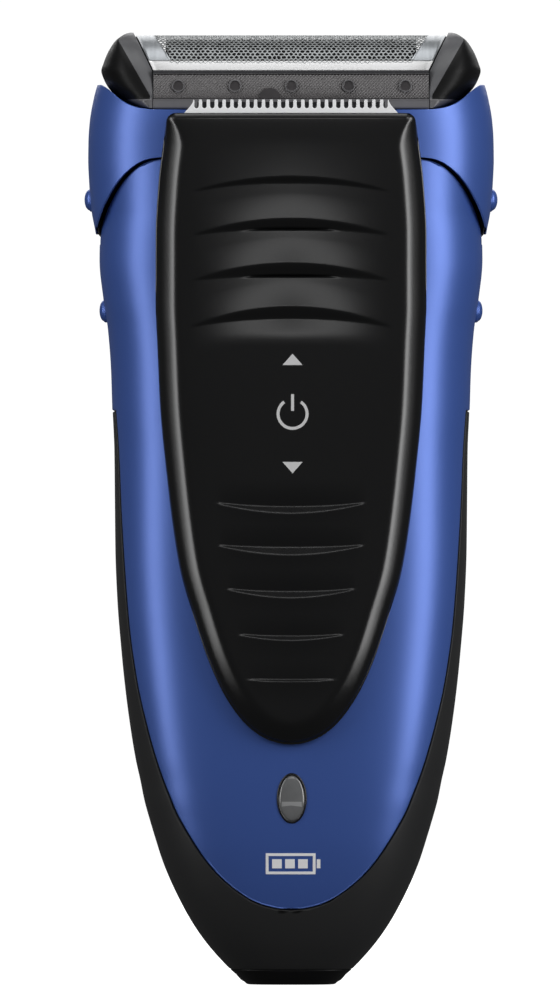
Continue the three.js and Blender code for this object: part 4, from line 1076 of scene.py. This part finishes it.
def make_foil():
    T = 0.07
    s_perf = float(np.interp(124.25, FZZ[: len(FZZ) // 2 + 1], FS[: len(FS) // 2 + 1])) - SM      # front limit of the holes (negative)
    px = 0.64                                          # hole pitch along X
    rows_n = int(round(2 * abs(s_perf) / (px * 0.8660)))
    ps = 2 * abs(s_perf) / rows_n
    def half_at(s):
        z = float(np.interp(SM + s, FS, FZZ))
        return 16.2 + (z - 124.25) * (18.75 - 16.2) / (128.1 - 124.25)
    # jittered hexagonal corner lattice, shared between neighbouring cells
    jit = {}
    def corner(i, j):
        key = (i, j)
        if key not in jit:
            jit[key] = rng.uniform(-0.085, 0.085, 2)
        return jit[key]
    V, F = [], []
    def add(p):
        V.append(p)
        return len(V) - 1
    cells = []
    for r in range(rows_n):
        s = s_perf + ps * (r + 0.5)
        hx = half_at(s)
        n = int(2 * hx / px)
        off = 0.5 * px if r % 2 else 0.0
        for k in range(-n // 2 - 2, n // 2 + 3):
            x = k * px + off
            if abs(x) + px * 0.5 <= hx:
                cells.append((r, 2 * k + (1 if r % 2 else 0), x, s))
    pts_out, pts_in, quads = [], [], []
    used = {}
    def outer_id(ci, cj, x, s):
        """Corner of the hexagon lattice, in half pitches and thirds of a row."""
        key = (ci, cj)
        if key not in used:
            j = corner(ci, cj)
            used[key] = len(pts_out)
            pts_out.append((x + j[0], s + j[1]))
        return used[key]
    ring = [(0, 2), (1, 1), (1, -1), (0, -2), (-1, -1), (-1, 1)]
    for r, kk, x, s in cells:
        o6, cx, cs = [], 0.0, 0.0
        for dx, ds in ring:
            o6.append(outer_id(kk + dx, 3 * r + ds, x + dx * px / 2, s + ds * ps / 3))
        c = np.mean([pts_out[i] for i in o6], axis=0)
        size = rng.uniform(0.70, 0.84)
        base = len(pts_in)
        for a in range(12):
            p, q = np.array(pts_out[o6[a // 2]]), np.array(pts_out[o6[(a // 2 + 1) % 6]])
            m = p if a % 2 == 0 else (p + q) / 2
            d = m - c
            k = size * (0.90 if a % 2 == 0 else 1.0)
            pts_in.append(tuple(c + d * k))
        quads.append((o6, base))
    # plain border between the holes and the foil's edges
    P_out = np.array(pts_out)
    P_in = np.array(pts_in)
    no, ni = len(P_out), len(P_in)
    top = np.concatenate([foil_point(P_out[:, 0], P_out[:, 1], 0.0), foil_point(P_in[:, 0], P_in[:, 1], -0.008)])
    bot = np.concatenate([foil_point(P_out[:, 0], P_out[:, 1], -T), foil_point(P_in[:, 0], P_in[:, 1], -T)])
    nt = no + ni
    V = np.concatenate([top, bot])
    edges = {}
    for o6, base in quads:
        for a in range(6):
            p, q = o6[a], o6[(a + 1) % 6]
            i0, i1, i2 = no + base + 2 * a, no + base + 2 * a + 1, no + base + (2 * a + 2) % 12
            F += [(p, i1, i0), (p, q, i1), (q, i2, i1)]
            F += [(nt + i0, nt + i1, nt + p), (nt + i1, nt + q, nt + p), (nt + i1, nt + i2, nt + q)]
            F += [(i0, i1, nt + i1, nt + i0), (i1, i2, nt + i2, nt + i1)]
            edges[(p, q)] = edges.get((p, q), 0) + 1
    rim = [(p, q) for (p, q) in edges if (q, p) not in edges]
    for p, q in rim:
        F.append((q, p, nt + p, nt + q))
    o = make("foil_mesh", V, F, FOIL, "cassette", ["shaving_foil"], "foil_steel", sharp=35)
    # border sheet: a frame round the perforated field, just under the web's edge cells
    V, F, FM = [], [], []
    def strip(xs_fn, s_list, nx, fm):
        base = len(V)
        for s in s_list:
            a, b = xs_fn(s)
            for x in np.linspace(a, b, nx):
                V.append(tuple(foil_point(np.float64(x), np.float64(s), -0.012)))
        for s in s_list:
            a, b = xs_fn(s)
            for x in np.linspace(a, b, nx):
                V.append(tuple(foil_point(np.float64(x), np.float64(s), -0.07)))
        nr = len(s_list)
        nb2 = base + nr * nx
        q = grid_faces(nr, nx, base)
        F.extend(q)
        F.extend([tuple(i - base + nb2 for i in reversed(f)) for f in q])
        rimi = [base + j for j in range(nx)] + [base + nx * i + nx - 1 for i in range(1, nr)] + [base + (nr - 1) * nx + nx - 1 - j for j in range(1, nx)] + [base + nx * (nr - 1 - i) for i in range(1, nr - 1)]
        for p, r2 in zip(rimi, rimi[1:] + rimi[:1]):
            F.append((p, r2, r2 - base + nb2, p - base + nb2))
        FM.extend([fm] * (len(F) - len(FM)))
    zs = lambda s: float(np.interp(SM + s, FS, FZZ))
    s_all = np.linspace(-SM + 0.01, SM - 0.01, 90)
    s_front = [s for s in s_all if s < s_perf + 0.3] + [s_perf + 0.3]
    s_rear = [-s_perf - 0.3] + [s for s in s_all if s > -s_perf - 0.3]
    s_mid = np.linspace(s_perf + 0.3, -s_perf - 0.3, 60)
    # the plain front and rear strips take the near-white rim colour, a painted highlight on the steel
    strip(lambda s: (-foil_half(zs(s)), foil_half(zs(s))), s_front, 60, 0)
    strip(lambda s: (-foil_half(zs(s)), foil_half(zs(s))), s_rear, 60, 0)
    strip(lambda s: (-foil_half(zs(s)), -half_at(s) + 0.30), s_mid, 8, 1)
    strip(lambda s: (half_at(s) - 0.30, foil_half(zs(s))), s_mid, 8, 1)
    make("foil_border", V, F, None, "cassette", ["shaving_foil"], "foil_steel", mats=[FOIL_RIM_PAINTED_HIGHLIGHT, FOIL_END], face_mats=FM, sharp=40, merge=False)


make_foil()


# ------------------------------------------------------------------ cutter block
def cutter():
    V, F = [], []
    n, count, pitch, th = 40, 32, 1.015, 0.24
    t = np.linspace(0, math.pi, n + 1)
    outer = np.stack([Y0 - 7.85 * np.cos(t), 121.6 + 6.22 * np.sin(t)], 1)
    inner = np.stack([Y0 - 6.6 * np.cos(t), 121.6 + 5.1 * np.sin(t)], 1)
    loop = np.vstack([outer, inner[::-1]])
    m = len(loop)
    for i in range(count):
        x = (i - (count - 1) / 2) * pitch
        base = len(V)
        for xx in (x - th / 2, x + th / 2):
            V += [(xx, y, z) for y, z in loop]
        for k in range(n):
            for b, flip in ((base, False), (base + m, True)):
                q = (b + k, b + k + 1, b + m - 2 - k, b + m - 1 - k)
                F.append(q[::-1] if flip else q)
        F += [(base + k, base + m + k, base + m + (k + 1) % m, base + (k + 1) % m) for k in range(m)]
    # the fins are steel coloured near black: painted shade seen through the foil holes
    o = make("cutter_fins", V, F, FIN_PAINTED_SHADE, "cutter", ["cutter_blades"], "steel", sharp=30)
    # black core filling the arch: painted shade seen through the foil holes
    t = np.linspace(0.19, math.pi - 0.19, 60)
    core = [(Y0 - 7.55 * math.cos(a), 121.6 + 5.95 * math.sin(a)) for a in t]
    V = [(x, y, z) for x in (-16.9, 16.9) for y, z in core]
    m = len(core)
    F = [tuple(range(m)), tuple(range(m, 2 * m))[::-1]] + [(k, m + k, m + (k + 1) % m, (k + 1) % m) for k in range(m)]
    make("cutter_core_painted_shade", V, F, BASE, "cutter", ["cutter_blades"], "base_black", sharp=40)
    for s, tag in ((-1, "front"), (1, "rear")):
        a, b = (Y0 - 7.28, Y0 - 5.85) if s < 0 else (Y0 + 5.85, Y0 + 7.28)
        box_bevel(f"cutter_rail_{tag}", (-16.2, a, 120.95), (16.2, b, 122.0), 0.2, WHITE_P, "cutter", replaces=["cutter_blades"], slot="steel")


cutter()


# ------------------------------------------------------------------ rear screws
def screw(i, cx, cz):
    surf = lambda x, z: float(d_rear(z) * unit(x / w_rear(z)))
    n = 48
    V, F = [], []
    prof = [(2.35, -0.35), (2.35, 0.05), (2.25, 0.12), (1.8, 0.16), (1.1, 0.18)]
    for rr, h in prof:
        for k in range(n):
            a = 2 * math.pi * (k + 0.5) / n
            V.append((cx + rr * math.cos(a), surf(cx + rr * math.cos(a), cz + rr * math.sin(a)) + h, cz + rr * math.sin(a)))
    F = grid_faces(len(prof), n, closed=True)
    F.append(tuple(range(n))[::-1])
    # cross recess inside the last ring
    arm, w2, depth = 0.95, 0.2, 0.55
    cross = [(arm, w2), (w2, w2), (w2, arm), (-w2, arm), (-w2, w2), (-arm, w2), (-arm, -w2), (-w2, -w2), (-w2, -arm), (w2, -arm), (w2, -w2), (arm, -w2)]
    cb = len(V)
    V += [(cx + a, surf(cx + a, cz + b) + 0.18, cz + b) for a, b in cross]
    V += [(cx + a * 0.8, surf(cx + a, cz + b) + 0.18 - depth, cz + b * 0.8) for a, b in cross]
    last = (len(prof) - 1) * n
    bm_pairs = []
    for k in range(n):                                # join the outer ring to the cross outline by nearest corner
        a0 = 2 * math.pi * (k + 0.5) / n
        bm_pairs.append(min(range(12), key=lambda c: abs((math.atan2(cross[c][1], cross[c][0]) - a0 + math.pi) % (2 * math.pi) - math.pi)))
    for k in range(n):
        c0, c1 = bm_pairs[k], bm_pairs[(k + 1) % n]
        F.append((last + k, last + (k + 1) % n, cb + c0))
        c = c0
        while c != c1:
            nx2 = (c + 1) % 12
            F.append((last + (k + 1) % n, cb + nx2, cb + c))
            c = nx2
    F += [(cb + k, cb + (k + 1) % 12, cb + 12 + (k + 1) % 12, cb + 12 + k) for k in range(12)]
    F.append(tuple(range(cb + 12, cb + 24)))
    make(f"screw_head_{i}", V, F, ZINC, "root", [f"rear_screw_{i}"], "dark_steel", sharp=35)


def nib(i, cx, cz):
    """Recessed ring that frames a screw in the rear shell."""
    n = 48
    V = []
    prof = [(3.25, -0.25), (3.2, 0.06), (3.08, 0.16), (2.86, 0.2), (2.66, 0.17), (2.55, 0.05), (2.52, -0.5), (2.9, -0.6)]
    for rr, h in prof:
        for k in range(n):
            a = 2 * math.pi * k / n
            x, z = cx + rr * math.cos(a), cz + rr * math.sin(a)
            V.append((x, float(d_rear(z) * unit(x / w_rear(z))) + h, z))
    m = len(prof)
    F = [(p * n + j, p * n + (j + 1) % n, ((p + 1) % m) * n + (j + 1) % n, ((p + 1) % m) * n + j) for p in range(m) for j in range(n)]
    make(f"screw_collar_{i}", V, F, SOFT, "root", slot="soft_black", sharp=50)


for i, (cx, cz) in enumerate([(-12, 17.5), (12, 17.5), (-14, 88), (14, 88)]):
    screw(i + 1, cx, cz)
    nib(i + 1, cx, cz)

# ------------------------------------------------------------------ CAD pieces with their own finish
for node, mat, body, slot in [("head_frame", WHITE_P, "root", "white_plastic"), ("drive_bridge", WHITE_P, "drive", "white_plastic"),
                              ("trimmer_holder", SMOKE, "slide", "smoked_plastic"), ("switch_carrier", WHITE_P, "slide", "white_plastic"),
                              ("cutter_carrier", WHITE_P, "cutter", "white_plastic"), 
                              ("chassis", WHITE_P, "root", "white_plastic"), ("foil_clamp_front", ZINC, "cassette", "dark_steel"),
                              ("foil_clamp_rear", ZINC, "cassette", "dark_steel")]:
    refine(node, mat, 0.12, body)
FINISH = {"drive_boot": RUBBER, "inlet_pin_left": BRASS, "inlet_pin_right": BRASS, "charge_lamp": LAMP, "circuit_board": BOARD, "charge_coil": COPPER, "power_switch": BASE,
          "battery_left": CELL, "battery_right": CELL, "battery_strap": STEEL, "motor_can": ZINC, "motor_end_cap": WHITE_P, "motor_shaft": STEEL,
          "eccentric": BRASS, "release_pin_left": STEEL, "release_pin_right": STEEL, "release_spring_left": STEEL, "release_spring_right": STEEL,
          "drive_pin": STEEL, "cutter_spring": STEEL, "trimmer_spring": STEEL}
DEFAULT = {"front_housing": BLUE, "release_button_left": BLUE, "release_button_right": BLUE, "rear_housing": SOFT, "base_socket": BASE, "switch_plate": PLATE,
           "charge_window": LENS, "foil_frame": SMOKE, "shaving_foil": FOIL, "trimmer_comb": COMB_PAINTED_REFLECTION, "trimmer_blade": BLADE, "cutter_blades": STEEL}
for name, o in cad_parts.items():
    mat = FINISH.get(name) or DEFAULT.get(name) or WHITE_P
    if not o.material_slots:
        o.data.materials.append(mat)
    for s in o.material_slots:
        s.material = mat

# ------------------------------------------------------------------ floor, light and camera
scene = bpy.context.scene
me = bpy.data.meshes.new("floor")
me.from_pydata([(-4, -4, 0), (4, -4, 0), (4, 4, 0), (-4, 4, 0)], [], [(0, 1, 2, 3)])
floor = bpy.data.objects.new("floor", me)
bpy.context.collection.objects.link(floor)
fm = bpy.data.materials.new("floor_white")
fm.use_nodes = True
nt = fm.node_tree
b = nt.nodes["Principled BSDF"]
b.inputs["Roughness"].default_value = 0.9
b.inputs["Specular IOR Level"].default_value = 0.1
noise = nt.nodes.new("ShaderNodeTexNoise")
noise.inputs["Scale"].default_value = 3
mixf = nt.nodes.new("ShaderNodeMix")
mixf.data_type = "RGBA"
mixf.inputs["A"].default_value = (0.50, 0.50, 0.505, 1)
mixf.inputs["B"].default_value = (0.52, 0.52, 0.52, 1)
nt.links.new(noise.outputs["Fac"], mixf.inputs["Factor"])
nt.links.new(mixf.outputs["Result"], b.inputs["Base Color"])
tcf = nt.nodes.new("ShaderNodeTexCoord")
ln = nt.nodes.new("ShaderNodeSeparateXYZ")
nt.links.new(tcf.outputs["Object"], ln.inputs[0])
rf = nt.nodes.new("ShaderNodeMapRange")
rf.interpolation_type = "SMOOTHSTEP"
rf.inputs["From Min"].default_value = -0.15
rf.inputs["From Max"].default_value = 0.10
rf.inputs["To Min"].default_value = 0.92
rf.inputs["To Max"].default_value = 1.0
nt.links.new(ln.outputs["Y"], rf.inputs["Value"])
nt.links.new(rf.outputs["Result"], b.inputs["Emission Strength"])
b.inputs["Emission Color"].default_value = (1, 1, 1, 1)
me.materials.append(fm)
floor.visible_glossy = False
floor.visible_diffuse = False

world = bpy.data.worlds.new("studio")
scene.world = world
world.use_nodes = True
wn = world.node_tree
bg = wn.nodes["Background"]
bg.inputs["Color"].default_value = (1, 1, 1, 1)
bg.inputs["Strength"].default_value = 0.07
bg2 = wn.nodes.new("ShaderNodeBackground")
bg2.inputs["Color"].default_value = (1, 1, 1, 1)
bg2.inputs["Strength"].default_value = 1.05
lp = wn.nodes.new("ShaderNodeLightPath")
mx = wn.nodes.new("ShaderNodeMixShader")
wn.links.new(lp.outputs["Is Camera Ray"], mx.inputs["Fac"])
wn.links.new(bg.outputs["Background"], mx.inputs[1])
wn.links.new(bg2.outputs["Background"], mx.inputs[2])
wn.links.new(mx.outputs["Shader"], wn.nodes["World Output"].inputs["Surface"])


def area(name, loc, target, sx, sy, power, color=(1, 1, 1)):
    d = bpy.data.lights.new(name, "AREA")
    d.shape = "RECTANGLE"
    d.size, d.size_y = sx, sy
    d.energy = power
    d.color = color
    o = bpy.data.objects.new(name, d)
    bpy.context.collection.objects.link(o)
    o.location = loc
    v = (np.array(target) - np.array(loc))
    from mathutils import Vector
    o.rotation_euler = Vector(v).to_track_quat("-Z", "Y").to_euler()
    return o


area("strip_left", (-0.60, -0.32, 0.22), (0, 0, 0.08), 0.20, 0.80, 3.0)
area("strip_right", (0.58, -0.36, 0.22), (0, 0, 0.08), 0.24, 0.80, 4.4)
area("front_high", (0.0, -0.95, 0.42), (0, 0, 0.09), 0.60, 0.20, 0.85)
area("top_soft", (0.0, -0.05, 0.70), (0, 0, 0.10), 0.6, 0.4, 1.6)
area("rim_back", (0.0, 0.7, 0.45), (0, 0, 0.07), 0.8, 0.5, 2.5)

cam_d = bpy.data.cameras.new("camera")
cam = bpy.data.objects.new("camera", cam_d)
bpy.context.collection.objects.link(cam)
DIST = 2.8
cam_d.sensor_fit = "VERTICAL"
cam_d.sensor_height = 36.0
cam_d.sensor_width = 36.0
cam_d.lens = 36.0 * DIST / 0.135
cam_d.clip_start, cam_d.clip_end = 0.05, 80
cam.location = (-0.001485, -DIST, 0.06534)
cam.rotation_euler = (math.pi / 2, 0, 0)
scene.camera = cam
scene.view_settings.view_transform = "Standard"
